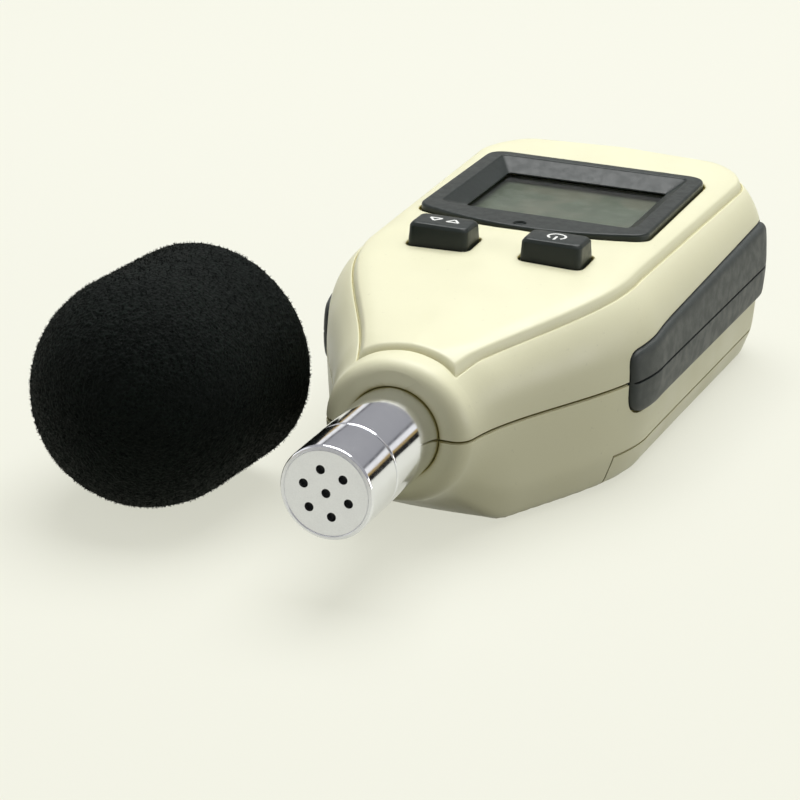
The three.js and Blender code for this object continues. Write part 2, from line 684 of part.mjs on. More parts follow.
function buttonCap(x) {
  const top = THICKNESS + BUTTON_HEIGHT;
  const [w, d] = [BUTTON_WIDTH / 2, BUTTON_DEPTH / 2];
  const ring = (inX, inFront, inRear, z) => [
    [x - w + inX, BUTTON_Y - d + inFront, z], [x + w - inX, BUTTON_Y - d + inFront, z],
    [x + w - inX, BUTTON_Y + d - inRear, z], [x - w + inX, BUTTON_Y + d - inRear, z],
  ];
  const cap = hull([
    ...ring(0, 0, 0, CEILING - 0.6),
    ...ring(0, 0, 0, THICKNESS + 0.3),
    ...ring(0.1, 0.2, 0.4, top - 0.7),
    ...ring(0.65, 0.75, 1.1, top),
  ]);
  const lip = buttonBox(x, BUTTON_LIP, CEILING - SLIDE - 1, CEILING - SLIDE);
  const stem = post(x, BUTTON_Y, STEM_RADIUS, STEM_BOTTOM, CEILING - SLIDE - 0.4, 16);
  return plug([cap, lip, stem]);
}

function switchBody(x) {
  const half = SWITCH_SIZE / 2;
  const z0 = BOARD_TOP + FIT;
  const body = box(x - half, x + half, BUTTON_Y - half, BUTTON_Y + half, z0, z0 + SWITCH_HEIGHT);
  return body.subtract(post(x, BUTTON_Y, PLUNGER_RADIUS + 0.3, z0 + 1, z0 + SWITCH_HEIGHT + 1, 16));
}

const switchPlunger = (x) => post(x, BUTTON_Y, PLUNGER_RADIUS,
  BOARD_TOP + FIT + 1 + BUTTON_TRAVEL + 0.2, STEM_BOTTOM - FIT, 16);

// ---------------------------------------------------------------- board and what stands on it

function mainBoard() {
  const [w, f, r] = [BOARD_HALF_WIDTH, BOARD_FRONT, BOARD_REAR];
  const shape = new THREE.Shape([
    [-16, f], [16, f], [w - 2, -5], [w, 6], [w, r - 5], [w - 7, r],
    [-w + 7, r], [-w, r - 5], [-w, 6], [-w + 2, -5],
  ].map((p) => new THREE.Vector2(...p)));
  let body = prism(shape, BOARD_BOTTOM, BOARD_TOP);
  for (const [x, y] of boardScrewSpots) {
    body = body.subtract(post(x, y, SCREW_RADIUS + FIT, BOARD_BOTTOM - 1, BOARD_TOP + 1, 12));
  }
  for (const [x, y] of caseScrewSpots) {
    body = body.subtract(post(x, y, BOSS_RADIUS + FIT, BOARD_BOTTOM - 1, BOARD_TOP + 1, 20));
  }
  return body;
}

const onBoard = (x, y, w, d, h) =>
  box(x - w / 2, x + w / 2, y - d / 2, y + d / 2, BOARD_TOP + FIT, BOARD_TOP + FIT + h);
const underBoard = (x, y, w, d, h) =>
  box(x - w / 2, x + w / 2, y - d / 2, y + d / 2, BOARD_BOTTOM - FIT - h, BOARD_BOTTOM - FIT);

// Pan-head screw: head at z, shank going up.
function screw(x, y, z, length) {
  const bottom = z - SCREW_HEAD_HEIGHT;
  const head = post(x, y, SCREW_HEAD, bottom, z, 12);
  const arm = (halfX, halfY) =>
    box(x - halfX, x + halfX, y - halfY, y + halfY, bottom - 1, bottom + CROSS_DEPTH);
  const slot = arm(CROSS_HALF, CROSS_WIDTH / 2);
  const cross = arm(CROSS_WIDTH / 2, CROSS_HALF);
  return head.add(post(x, y, SCREW_RADIUS, z - 0.2, z + length, 8)).subtract(slot.add(cross));
}

// ---------------------------------------------------------------- microphone

function micCap() {
  const [r, y0, y1] = [MIC_RADIUS, TIP_Y, TIP_Y + CAP_LENGTH];
  let body = turned([
    [0, y0], [r - TIP_EDGE, y0], [r - 0.2, y0 + 0.25], [r, y0 + TIP_EDGE], [r, y1 - 0.25],
    [r - 0.25, y1], [r - CAP_WALL, y1], [r - CAP_WALL, y0 + CAP_FACE], [0, y0 + CAP_FACE],
  ]);
  const hole = (x, z) => rod(HOLE_RADIUS, y0 - 1, y0 + CAP_FACE + 1, x, AXIS_Z + z, 12);
  body = body.subtract(hole(0, 0));
  for (let i = 0; i < HOLE_COUNT; i += 1) {
    const turn = HOLE_TURN - 2 * Math.PI * i / HOLE_COUNT;
    body = body.subtract(hole(HOLE_CIRCLE * Math.cos(turn), HOLE_CIRCLE * Math.sin(turn)));
  }
  return body;
}

function micTube() {
  const [r, y0, y1] = [MIC_RADIUS, TIP_Y + CAP_LENGTH + FIT, NOSE_Y + TUBE_IN_NOSE];
  return turned([
    [r - 0.25, y0], [r, y0 + 0.25], [r, y1], [r - CAP_WALL, y1], [r - CAP_WALL, y0],
  ]);
}

const MIC_INNER = MIC_RADIUS - CAP_WALL;
const CAPSULE_Y = TIP_Y + CAPSULE_SETBACK;
const MESH_Y = TIP_Y + CAP_FACE + FIT;
const micMesh = () => rod(MIC_INNER - FIT, MESH_Y, MESH_Y + MESH_THICK, 0, AXIS_Z, 24);
const micCapsule = () => rod(CAPSULE_RADIUS, CAPSULE_Y, CAPSULE_Y + CAPSULE_LENGTH, 0, AXIS_Z, 24);
const capsuleHolder = () => turned([
  [CAPSULE_RADIUS + FIT, CAPSULE_Y], [MIC_INNER - FIT, CAPSULE_Y],
  [MIC_INNER - FIT, CAPSULE_Y + HOLDER_LENGTH], [CAPSULE_RADIUS + FIT, CAPSULE_Y + HOLDER_LENGTH],
], 0, AXIS_Z, 24);
const noseBush = () => turned([
  [MIC_RADIUS + 0.15, BUSH_Y + FIT], [BUSH_SEAT - FIT, BUSH_Y + FIT],
  [BUSH_SEAT - FIT, BUSH_END], [MIC_RADIUS + 0.15, BUSH_END],
]);

const micLead = (x) => tube([
  [x, CAPSULE_Y + CAPSULE_LENGTH + FIT, AXIS_Z],
  [x, NOSE_Y, AXIS_Z - 0.4],
  [x, NOSE_Y + 15, AXIS_Z + 1],
  [x * 1.6, BOARD_FRONT - 2, BOARD_TOP + 1.3],
  [x * 2.2, BOARD_FRONT + 3, BOARD_TOP + FIT + LEAD_RADIUS + 0.05],
], LEAD_RADIUS, 20);

// ---------------------------------------------------------------- batteries

const cellX = (i) => (i - (CELL_COUNT - 1) / 2) * CELL_PITCH;
const plusAtFront = (i) => i % 2 === 0;
const FRONT_PLATE = BAY_FRONT + FIT;
const REAR_PLATE = BAY_REAR - FIT;

function batteryCell(i) {
  const flip = plusAtFront(i) ? 1 : -1;
  const plusEnd = plusAtFront(i) ? FRONT_PLATE + PLATE_THICK + FIT : REAR_PLATE - PLATE_THICK - FIT;
  const at = (d) => plusEnd + flip * d;
  const profile = [
    [0, at(0)], [CELL_NUB_RADIUS, at(0)], [CELL_NUB_RADIUS, at(CELL_NUB)],
    [CELL_RADIUS - CELL_EDGE, at(CELL_NUB)], [CELL_RADIUS, at(CELL_NUB + CELL_EDGE)],
    [CELL_RADIUS, at(CELL_LENGTH - CELL_EDGE)], [CELL_RADIUS - CELL_EDGE, at(CELL_LENGTH)],
    [0, at(CELL_LENGTH)],
  ];
  return turned(flip > 0 ? profile : profile.reverse(), cellX(i), CELL_Z, 24);
}

// The tapered spring at a cell's minus end, between the contact plate and the cell.
function batterySpring(i) {
  const atRear = plusAtFront(i);
  const inner = atRear ? REAR_PLATE - PLATE_THICK - FIT : FRONT_PLATE + PLATE_THICK + FIT;
  const cellEnd = atRear
    ? FRONT_PLATE + PLATE_THICK + FIT + CELL_LENGTH
    : REAR_PLATE - PLATE_THICK - FIT - CELL_LENGTH;
  const gap = FIT + SPRING_WIRE;
  const [from, to] = atRear ? [inner - SPRING_WIRE, cellEnd + gap] : [inner + SPRING_WIRE, cellEnd - gap];
  const points = [];
  const steps = SPRING_TURNS * 8;
  for (let k = 0; k <= steps; k += 1) {
    const u = k / steps;
    const turn = 2 * Math.PI * SPRING_TURNS * u;
    const radius = SPRING_WIDE + (SPRING_NARROW - SPRING_WIDE) * u;
    points.push([
      cellX(i) + radius * Math.cos(turn), from + (to - from) * u, CELL_Z + radius * Math.sin(turn),
    ]);
  }
  return tube(points, SPRING_WIRE, SPRING_TURNS * 10, 5);
}

function contactPlate(cells, atRear) {
  const y0 = atRear ? REAR_PLATE - PLATE_THICK : FRONT_PLATE;
  const xs = cells.map(cellX);
  return box(Math.min(...xs) - PLATE_HALF, Math.max(...xs) + PLATE_HALF,
    y0, y0 + PLATE_THICK, CELL_Z - PLATE_HALF, CELL_Z + PLATE_HALF);
}

const LEAD_TOP = BOARD_BOTTOM - FIT;
const leadSpot = (side) => (side < 0
  ? [cellX(0), FRONT_PLATE + LEAD_INSET]
  : [cellX(CELL_COUNT - 1), REAR_PLATE - LEAD_INSET]);
const leadHole = (side) => post(
  ...leadSpot(side), LEAD_RADIUS + FIT, BAY_CEILING - 1, BAY_CEILING + BAY_WALL + 1, 12);
function batteryLead(side) {
  const [x, y] = leadSpot(side);
  return tube([
    [x, y, CELL_Z + PLATE_HALF + FIT + 0.2], [x, y, BAY_CEILING + BAY_WALL],
    [x - side * LEAD_SLACK, y, (BAY_CEILING + BAY_WALL + LEAD_TOP) / 2], [x, y, LEAD_TOP],
  ], LEAD_RADIUS, 10);
}

// ---------------------------------------------------------------- windscreen

// Bullet of foam, lying on its side, with its bore open at the flat end.
function windscreen() {
  const half = FOAM_LENGTH / 2;
  const dome = [];
  for (let i = 0; i <= 10; i += 1) {
    const turn = Math.PI / 2 * i / 10;
    dome.push([FOAM_RADIUS * Math.sin(turn), -half + FOAM_RADIUS * (1 - Math.cos(turn))]);
  }
  const edge = [];
  for (let i = 0; i <= 4; i += 1) {
    const turn = Math.PI / 2 * i / 4;
    edge.push([
      FOAM_RADIUS - FOAM_EDGE + FOAM_EDGE * Math.cos(turn), half - FOAM_EDGE + FOAM_EDGE * Math.sin(turn),
    ]);
  }
  const profile = [
    ...dome, ...edge, [FOAM_BORE, half], [FOAM_BORE, half - FOAM_BORE_DEPTH], [0, half - FOAM_BORE_DEPTH],
  ];
  return geometryOf(turned(profile, 0, 0, 28));
}

// ---------------------------------------------------------------- assembly

const meter = new THREE.Group();

function place(name, body, finish) {
  const geometry = body instanceof THREE.BufferGeometry ? body : geometryOf(body);
  const mesh = new THREE.Mesh(geometry, finish);
  mesh.name = name;
  meter.add(mesh);
  return mesh;
}

place("front_shell", frontShell(), IVORY);
place("rear_shell", rearShell(), IVORY);
place("battery_door", batteryDoor(), IVORY);
for (const [word, side] of [["left", -1], ["right", 1]]) {
  place(`front_grip_${word}`, grip(side, true), RUBBER);
  place(`rear_grip_${word}`, grip(side, false), RUBBER);
}

place("lcd_bezel", lcdBezel(), CHARCOAL);
place("lcd_window", displayBlock(1, WINDOW_TOP - WINDOW_THICK, WINDOW_TOP), CLEAR);
place("lcd_glass", displayBlock(LCD_MARGIN, LCD_TOP - LCD_THICK, LCD_TOP), LCD_GREY);
place("lcd_backlight", displayBlock(-0.4, BACKLIGHT_TOP - BACKLIGHT_THICK, BACKLIGHT_TOP), MILKY);
place("lcd_holder", lcdHolder(), MILKY);
place("lcd_strip_near", connectorStrip(-1), STRIP_GREY);
place("lcd_strip_far", connectorStrip(1), STRIP_GREY);

for (const [word, x] of [["range", -BUTTON_X], ["power", BUTTON_X]]) {
  place(`${word}_button`, buttonCap(x), CHARCOAL);
  place(`${word}_switch`, switchBody(x), CHIP_BLACK);
  place(`${word}_plunger`, switchPlunger(x), NYLON);
}

place("main_board", mainBoard(), BOARD_GREEN);
place("processor_chip", onBoard(0, -11, 11, 11, 1.5), CHIP_BLACK);
place("amplifier_chip", onBoard(-11.5, -14, 5, 4, 1.5), CHIP_BLACK);
place("memory_chip", underBoard(0, 4, 8, 5, 1.4), CHIP_BLACK);
place("crystal_can", onBoard(11, -9, 4, 9, 3.2), STEEL);
place("supply_capacitor", post(-17, -9, 2.5, BOARD_TOP + FIT, BOARD_TOP + 6, 20), CAPACITOR_BLUE);
place("coupling_capacitor", post(17.5, 6, 2, BOARD_TOP + FIT, BOARD_TOP + 5.5, 20), CAPACITOR_BLUE);

place("mic_cap", micCap(), CHROME);
place("mic_tube", micTube(), CHROME);
place("mic_mesh", micMesh(), MESH_GREY);
place("mic_capsule", micCapsule(), STEEL);
place("capsule_holder", capsuleHolder(), NYLON);
place("nose_bush", noseBush(), RUBBER);
place("mic_lead_signal", micLead(1.2), WIRE_RED);
place("mic_lead_ground", micLead(-1.2), WIRE_BLACK);

for (let i = 0; i < CELL_COUNT; i += 1) {
  place(`battery_cell_${i + 1}`, batteryCell(i), CELL_JACKET);
  place(`battery_spring_${i + 1}`, batterySpring(i), NICKEL);
}
place("contact_plate_plus", contactPlate([0], false), NICKEL);
place("contact_plate_front", contactPlate([1, 2], false), NICKEL);
place("contact_plate_rear", contactPlate([0, 1], true), NICKEL);
place("contact_plate_minus", contactPlate([2], true), NICKEL);
place("battery_lead_plus", batteryLead(-1), WIRE_RED);
place("battery_lead_minus", batteryLead(1), WIRE_BLACK);

boardScrewSpots.forEach(([x, y], i) => {
  place(`board_screw_${i + 1}`, screw(x, y, BOARD_BOTTOM - FIT, SCREW_BITE), STEEL);
});
caseScrewSpots.forEach(([x, y], i) => {
  const floor = caseScrewFloor(y);
  place(`case_screw_${i + 1}`, screw(x, y, floor - FIT, AXIS_Z + SCREW_BITE - 1 - floor), STEEL);
});

const foam = place("windscreen", windscreen(), FOAM);
foam.position.set(-CASE_WIDTH / 2 - FOAM_ASIDE, NOSE_Y - FOAM_AHEAD, FOAM_RADIUS);
foam.rotation.z = FOAM_YAW;

export default meter;
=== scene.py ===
"""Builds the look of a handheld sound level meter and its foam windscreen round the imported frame.

Lengths are in metres. The meter lies on its back: +Z is up out of the display, the microphone
points along -Y and +X is the width. Each operator makes one piece or one group of like pieces.
"""

import math

import bmesh
import bpy
import numpy as np
from bpy.props import FloatProperty, FloatVectorProperty, IntProperty, PointerProperty
from mathutils import Matrix, Vector


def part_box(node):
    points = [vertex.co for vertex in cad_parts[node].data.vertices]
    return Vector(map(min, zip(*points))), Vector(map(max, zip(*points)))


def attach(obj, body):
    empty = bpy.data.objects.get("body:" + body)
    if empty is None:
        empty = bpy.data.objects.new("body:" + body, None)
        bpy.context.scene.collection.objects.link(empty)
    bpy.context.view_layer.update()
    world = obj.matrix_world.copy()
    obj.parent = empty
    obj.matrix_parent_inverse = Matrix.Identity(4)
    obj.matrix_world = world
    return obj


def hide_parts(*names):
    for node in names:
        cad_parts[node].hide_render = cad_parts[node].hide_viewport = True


bl_info = {
    "name": "Sound level meter",
    "version": (1, 0, 0),
    "blender": (4, 5, 0),
    "location": "3D View > Sidebar > Meter",
    "description": "Makes the visible pieces of a handheld sound level meter",
    "category": "Object",
}

MM = 0.001

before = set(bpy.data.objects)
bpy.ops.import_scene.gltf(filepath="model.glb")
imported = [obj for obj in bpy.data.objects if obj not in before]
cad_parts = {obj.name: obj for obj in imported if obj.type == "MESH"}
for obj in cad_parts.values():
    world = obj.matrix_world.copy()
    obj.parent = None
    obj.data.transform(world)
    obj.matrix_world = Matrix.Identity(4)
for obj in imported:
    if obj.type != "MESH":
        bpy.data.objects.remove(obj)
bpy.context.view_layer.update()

# ------------------------------------------------------------------ places taken from the frame

FRONT_LOW, FRONT_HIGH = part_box("front_shell")
REAR_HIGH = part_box("rear_shell")[1]
DOOR_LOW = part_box("battery_door")[0]
BEZEL_LOW, BEZEL_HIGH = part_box("lcd_bezel")
GRIP_LOW, GRIP_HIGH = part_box("front_grip_right")
REAR_GRIP_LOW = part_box("rear_grip_right")[0]
CAP_LOW, CAP_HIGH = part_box("mic_cap")
TUBE_LOW, TUBE_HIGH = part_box("mic_tube")
FOAM_LOW, FOAM_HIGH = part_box("windscreen")

NOSE_Y = FRONT_LOW.y
TAIL_Y = FRONT_HIGH.y
AXIS_Z = (FRONT_LOW.z + REAR_HIGH.z) / 2
HALF_GAP = (FRONT_LOW.z - REAR_HIGH.z) / 2
PANEL_TOP = FRONT_HIGH.z
MIC_RADIUS = (CAP_HIGH.x - CAP_LOW.x) / 2
DOOR_TAB = 3.2 * MM              # length of the door's front tabs
DOOR_EDGE = DOOR_LOW.y + DOOR_TAB
TAB_X = 21 * MM                  # how far each tab is from the middle
TAB_HALF = 3 * MM                # half a tab's width
FIT = 0.3 * MM                   # clearance of what sits in the case
LIP = 0.8 * MM                   # the lip round a button under the panel
BEZEL_PLATE = 1.8 * MM           # thickness of the bezel's rim
BEZEL_BOW = 5.2 * MM             # how far the bezel's near edge bows out
COLLAR = (20 * MM, 18.4 * MM, 54.8 * MM)   # the bezel's collar: half width, near end, far end
TUBE_WALL = 0.8 * MM             # wall of the microphone's cap and tube
BOSS = 3 * MM                    # radius of a screw's boss
SHANK_ROOM = 1.4 * MM            # radius of the hole for its shank


# ------------------------------------------------------------------ settings

def length(name, about, default):
    return FloatProperty(
        name=name, description=about, default=default, unit="LENGTH", subtype="DISTANCE", precision=5
    )


def colour(name, about, default):
    return FloatVectorProperty(
        name=name, description=about, default=default, size=3, min=0, max=1, subtype="COLOR"
    )


class MeterCase(bpy.types.PropertyGroup):
    half_width: length("Half width", "Half the case's greatest width, without the grips", 32.3 * MM)
    nose_radius: length("Nose radius", "Radius of the case at the microphone", 12.6 * MM)
    nose_edge: length("Nose edge", "Rounding of the nose's front edge", 2.6 * MM)
    nose_top: length("Nose top", "Top of the nose above the microphone axis", 12.4 * MM)
    nose_bottom: length("Nose bottom", "Bottom of the nose below the microphone axis", 12.9 * MM)
    flare: length("Flare", "Length over which the nose widens to the body", 51 * MM)
    belly_run: length("Belly run", "Length over which the belly drops to full depth", 15 * MM)
    taper: length("Taper", "How much each side still widens towards the tail", 1.7 * MM)
    tail_corner: length("Tail corner", "Radius of the tail's corners from above", 13 * MM)
    tail_edge: length("Tail edge", "Rounding of the tail's top and bottom edges", 3.6 * MM)
    draft: length("Side draft", "How much each side leans in towards the back", 1 * MM)
    belly_inset: length("Belly inset", "Back face edge inside the belly crease", 2 * MM)
    crease: length("Crease height", "Belly crease above the back face", 5.9 * MM)
    shoulder: length("Shoulder", "Flat top's edge, from the side inwards", 5.4 * MM)
    shoulder_drop: length("Shoulder drop", "Flat top's edge below the crown", 0.7 * MM)
    panel_inset: length("Panel inset", "Raised panel's edge, from the side inwards", 5.2 * MM)
    panel_start: length("Panel start", "Panel's front points, behind the nose face", 5.4 * MM)
    panel_hollow: length("Panel hollow", "Hollow of the panel's edge over the nose", 1.4 * MM)
    panel_step: length("Panel step", "Height of the raised panel", 0.8 * MM)
    groove: length("Groove", "Depth of the groove round the panel", 0.42 * MM)
    wall: length("Wall", "Thickness of the moulded wall", 2.2 * MM)
    seam: length("Seam", "Radius of the rounded edges along a seam", 0.32 * MM)
    grip_proud: length("Grip height", "How far the grips stand out of the sides", 1.1 * MM)
    grip_bevel: length("Grip bevel", "Width of the bevel round a grip", 1.15 * MM)
    grip_depth: length("Grip pocket", "Depth of the pockets that hold the grips", 1.2 * MM)


class MeterPieces(bpy.types.PropertyGroup):
    button_edge: length("Button edge", "Rounding of a button's top edge", 0.5 * MM)
    button_corner: length("Button corner", "Radius of a button's corners from above", 1.3 * MM)
    hole_radius: length("Hole radius", "Radius of the holes in the microphone cap", 0.78 * MM)
    hole_circle: length("Hole circle", "Radius of the circle that the holes stand on", 4 * MM)
    hole_count: IntProperty(name="Holes", description="Holes round the middle one", default=6, min=1)
    coil_turns: FloatProperty(name="Coil turns", description="Turns of a spring", default=4.5, min=1)
    wire_radius: length("Wire radius", "Radius of a battery spring's wire", 0.36 * MM)
    foam_cell: length("Foam cell", "Width of a cell in the foam", 0.5 * MM)
    foam_pit: length("Foam pit", "Depth of the open cells at the foam's surface", 0.35 * MM)
    foam_strands: IntProperty(name="Foam strands", description="Cut cell walls", default=14000, min=0)


class MeterColours(bpy.types.PropertyGroup):
    ivory: colour("Ivory", "Case plastic", (0.80, 0.785, 0.55))
    # Painted shade: the olive colour that the ivory darkens to deep in grooves, seams and pockets, where
    # shade falls.
    crevice_shade: colour("Crevice", "Case plastic deep in grooves and seams", (0.34, 0.29, 0.08))
    charcoal: colour("Charcoal", "Bezel and buttons", (0.019, 0.025, 0.022))
    rubber: colour("Rubber", "Grips", (0.048, 0.055, 0.052))
    chrome: colour("Chrome", "Microphone", (0.80, 0.81, 0.84))
    liquid_crystal: colour("Display", "Display glass", (0.20, 0.22, 0.18))
    foam: colour("Foam", "Windscreen", (0.0035, 0.0060, 0.0045))
    mark: colour("Marks", "Printed marks on the buttons", (0.78, 0.79, 0.75))
    board: colour("Board", "Solder resist on the circuit board", (0.02, 0.12, 0.05))
    jacket: colour("Cell jacket", "Battery cells", (0.03, 0.11, 0.27))


# ------------------------------------------------------------------ node trees

class Tree:
    """A node tree under construction, for shading or for geometry."""

    def __init__(self, tree):
        self.tree = tree

    def add(self, kind, inputs=None, **settings):
        node = self.tree.nodes.new(kind)
        for key, value in settings.items():
            setattr(node, key, value)
        for key, value in (inputs or {}).items():
            if isinstance(value, bpy.types.NodeSocket):
                self.tree.links.new(value, node.inputs[key])
            else:
                node.inputs[key].default_value = value
        return node

    def out(self, kind, inputs=None, **settings):
        """The first output of a new node."""
        return self.add(kind, inputs, **settings).outputs[0]

    def sum(self, operation, *values):
        return self.out("ShaderNodeMath", dict(enumerate(values)), operation=operation)


class Finish(Tree):
    """A material on a principled shader, fed from Object coordinates."""

    def __init__(self, name, base, roughness, **values):
        self.material = bpy.data.materials.new(name)
        self.material.use_nodes = True
        super().__init__(self.material.node_tree)
        self.tree.nodes.clear()
        self.shader = self.add("ShaderNodeBsdfPrincipled")
        self.output = self.add("ShaderNodeOutputMaterial", {"Surface": self.shader.outputs[0]})
        self.base = tuple(base)
        self.shader.inputs["Base Color"].default_value = (*self.base, 1)
        self.shader.inputs["Roughness"].default_value = roughness
        for key, value in values.items():
            self.shader.inputs[key.replace("_", " ").title().replace("Ior", "IOR")].default_value = value
        self.place = self.add("ShaderNodeTexCoord").outputs["Object"]

    def noise(self, size, detail=3, roughness=0.5, distortion=0.0, place=None):
        """Noise whose features are about size across."""
        return self.out("ShaderNodeTexNoise", {
            "Vector": place or self.place, "Scale": 1 / size, "Detail": detail,
            "Roughness": roughness, "Distortion": distortion,
        })

    def cells(self, size):
        return self.out("ShaderNodeTexVoronoi", {"Vector": self.place, "Scale": 1 / size})

    def span(self, value, low, high, to_low=0.0, to_high=1.0):
        return self.out("ShaderNodeMapRange", {
            "Value": value, "From Min": low, "From Max": high, "To Min": to_low, "To Max": to_high,
        }, interpolation_type="SMOOTHSTEP")

    def mix(self, factor, first, second):
        node = self.add("ShaderNodeMix", {"Factor": factor}, data_type="RGBA")
        for socket, value in zip((node.inputs[6], node.inputs[7]), (first, second)):
            if isinstance(value, bpy.types.NodeSocket):
                self.tree.links.new(value, socket)
            else:
                socket.default_value = (*value, 1)
        return node.outputs[2]

    def shade(self, factor):
        return tuple(min(1.0, c * factor) for c in self.base)

    def tones(self, factor, first, second):
        """The base colour, between two shades of it."""
        return self.mix(factor, self.shade(first), self.shade(second))

    def colour(self, value):
        self.tree.links.new(value, self.shader.inputs["Base Color"])

    def rough(self, value):
        self.tree.links.new(value, self.shader.inputs["Roughness"])

    def uneven(self, low, high, size, detail=3):
        """A gloss that drifts between two roughnesses."""
        self.rough(self.span(self.noise(size, detail), 0.3, 0.7, low, high))

    def bumps(self, *layers):
        """Stacks (height, depth) layers of bump."""
        normal = None
        for height, depth in layers:
            inputs = {"Height": height, "Strength": 1.0, "Distance": depth}
            if normal:
                inputs["Normal"] = normal
            normal = self.out("ShaderNodeBump", inputs)
        self.tree.links.new(normal, self.shader.inputs["Normal"])

    def crevices(self, distance):
        """Ambient occlusion for painted shade: 1 on open surfaces, falling towards 0 deep in grooves."""
        return self.add("ShaderNodeAmbientOcclusion", {"Distance": distance}, samples=6).outputs["AO"]


def moulded(name, base, roughness, grain=0.35 * MM, depth=0.012 * MM):
    """Moulded plastic: a fine spark texture, a slow drift of tone and uneven gloss."""
    f = Finish(name, base, roughness)
    drift = 0.08
    tone = f.noise(18 * MM, 4)
    f.colour(f.tones(tone, 1 - drift, 1 + drift))
    f.uneven(roughness - 0.05, roughness + 0.07, 4 * MM)
    f.bumps((f.noise(grain, 2), depth), (f.noise(2.5 * MM, 2), depth * 0.6))
    return f.material


def ivory_finish(colours):
    f = Finish("ivory_case", colours.ivory, 0.4, specular_ior_level=0.45)
    tone = f.tones(f.noise(30 * MM, 4), 0.96, 1.03)
    speck = f.span(f.noise(0.9 * MM, 2), 0.68, 0.8)
    speckled = f.mix(speck, tone, f.shade(0.9))
    # Painted shade: ambient occlusion darkens the case towards the olive shade colour in grooves, seams and
    # pockets.
    open_surface = f.span(f.crevices(1.3 * MM), 0.35, 0.93)
    f.colour(f.mix(open_surface, tuple(colours.crevice_shade), speckled))
    f.uneven(0.33, 0.46, 7 * MM, 4)
    f.bumps((f.noise(0.3 * MM, 2), 0.010 * MM), (f.noise(6 * MM, 2), 0.02 * MM))
    return f.material


def charcoal_finish(colours):
    f = Finish("charcoal_plastic", colours.charcoal, 0.38, specular_ior_level=0.3)
    tone = f.tones(f.noise(5 * MM, 4), 0.8, 1.25)
    # Painted highlight: sharp edges, picked out by pointiness, are lightened to stand for the highlights
    # along the bevels.
    edge_highlight = f.span(f.add("ShaderNodeNewGeometry").outputs["Pointiness"], 0.53, 0.62)
    f.colour(f.mix(edge_highlight, tone, f.shade(2.6)))
    f.uneven(0.28, 0.42, 1.6 * MM)
    f.bumps((f.noise(0.28 * MM, 2), 0.012 * MM), (f.noise(3 * MM, 2), 0.01 * MM))
    return f.material


def rubber_finish(colours):
    f = Finish("grip_rubber", colours.rubber, 0.5, specular_ior_level=0.3)
    tone = f.tones(f.noise(9 * MM, 5), 0.82, 1.15)
    dust = f.span(f.noise(0.5 * MM, 2, 0.7), 0.66, 0.8)
    f.colour(f.mix(dust, tone, f.shade(1.6)))
    f.uneven(0.42, 0.56, 2.2 * MM, 4)
    f.bumps((f.noise(0.22 * MM, 3), 0.02 * MM), (f.cells(0.5 * MM), 0.008 * MM))
    return f.material


def chrome_finish(name, base, roughness, scratch):
    f = Finish(name, base, roughness, metallic=1.0)
    stretched = f.out("ShaderNodeMapping", {"Vector": f.place, "Scale": (1, 0.06, 1)})
    along = f.add("ShaderNodeSeparateXYZ", {"Vector": f.place}).outputs["Y"]
    side = f.span(along, CAP_LOW.y + 0.15 * MM, CAP_LOW.y + 0.3 * MM)
    haze = f.tones(f.noise(3 * MM, 4), 0.93, 1.0)
    grain = f.tones(f.noise(0.25 * MM, 3, 0.7), 0.82, 0.98)
    f.colour(f.mix(side, grain, haze))
    lines = f.noise(0.12 * MM, 3, 0.6, place=stretched)
    polish = f.span(f.noise(1.5 * MM, 4), 0.3, 0.75, roughness * 0.75, roughness * 1.5)
    f.rough(f.sum("MULTIPLY_ADD", f.sum("SUBTRACT", 1.0, side), 0.3, polish))
    f.bumps((lines, scratch), (f.noise(9 * MM, 2), scratch * 3))
    return f.material


def satin_metal(name, base, roughness, along=(1, 1, 1)):
    f = Finish(name, base, roughness, metallic=1.0)
    stretched = f.out("ShaderNodeMapping", {"Vector": f.place, "Scale": along})
    lines = f.noise(0.2 * MM, 4, 0.65, place=stretched)
    f.colour(f.tones(f.noise(2.5 * MM, 4), 0.85, 1.05))
    f.rough(f.span(lines, 0.3, 0.7, roughness * 0.8, roughness * 1.3))
    f.bumps((lines, 0.004 * MM))
    return f.material


def display_finish(colours):
    f = Finish("liquid_crystal", colours.liquid_crystal, 0.16, coat_weight=0.3)
    cloud = f.noise(5 * MM, 3, 0.55, 0.6)
    blot = f.span(f.noise(11 * MM, 2, 0.5, 0.4), 0.42, 0.62)
    tone = f.tones(cloud, 0.72, 1.2)
    f.colour(f.mix(blot, tone, (0.25, 0.245, 0.205)))
    f.uneven(0.12, 0.22, 2 * MM)
    f.bumps((f.noise(0.15 * MM, 2), 0.001 * MM))
    return f.material


def window_finish():
    """Clear acrylic that shows what is under it and mirrors the room at a slant."""
    f = Finish("clear_acrylic", (0.9, 0.92, 0.9), 0.05)
    clear = f.add("ShaderNodeBsdfTransparent", {"Color": (0.93, 0.95, 0.92, 1)})
    smear = f.span(f.noise(3 * MM, 4, 0.6, 0.5), 0.35, 0.75, 0.03, 0.12)
    gloss = f.add("ShaderNodeBsdfGlossy", {"Roughness": smear})
    fresnel = f.out("ShaderNodeFresnel", {"IOR": 1.49})
    front_face = f.sum("SUBTRACT", 1, f.add("ShaderNodeNewGeometry").outputs["Backfacing"])
    mirrored = f.sum("MULTIPLY", fresnel, front_face)
    mixed = f.add("ShaderNodeMixShader", {0: mirrored, 1: clear.outputs[0], 2: gloss.outputs[0]})
    f.tree.nodes.remove(f.shader)
    f.tree.links.new(mixed.outputs[0], f.output.inputs["Surface"])
    return f.material


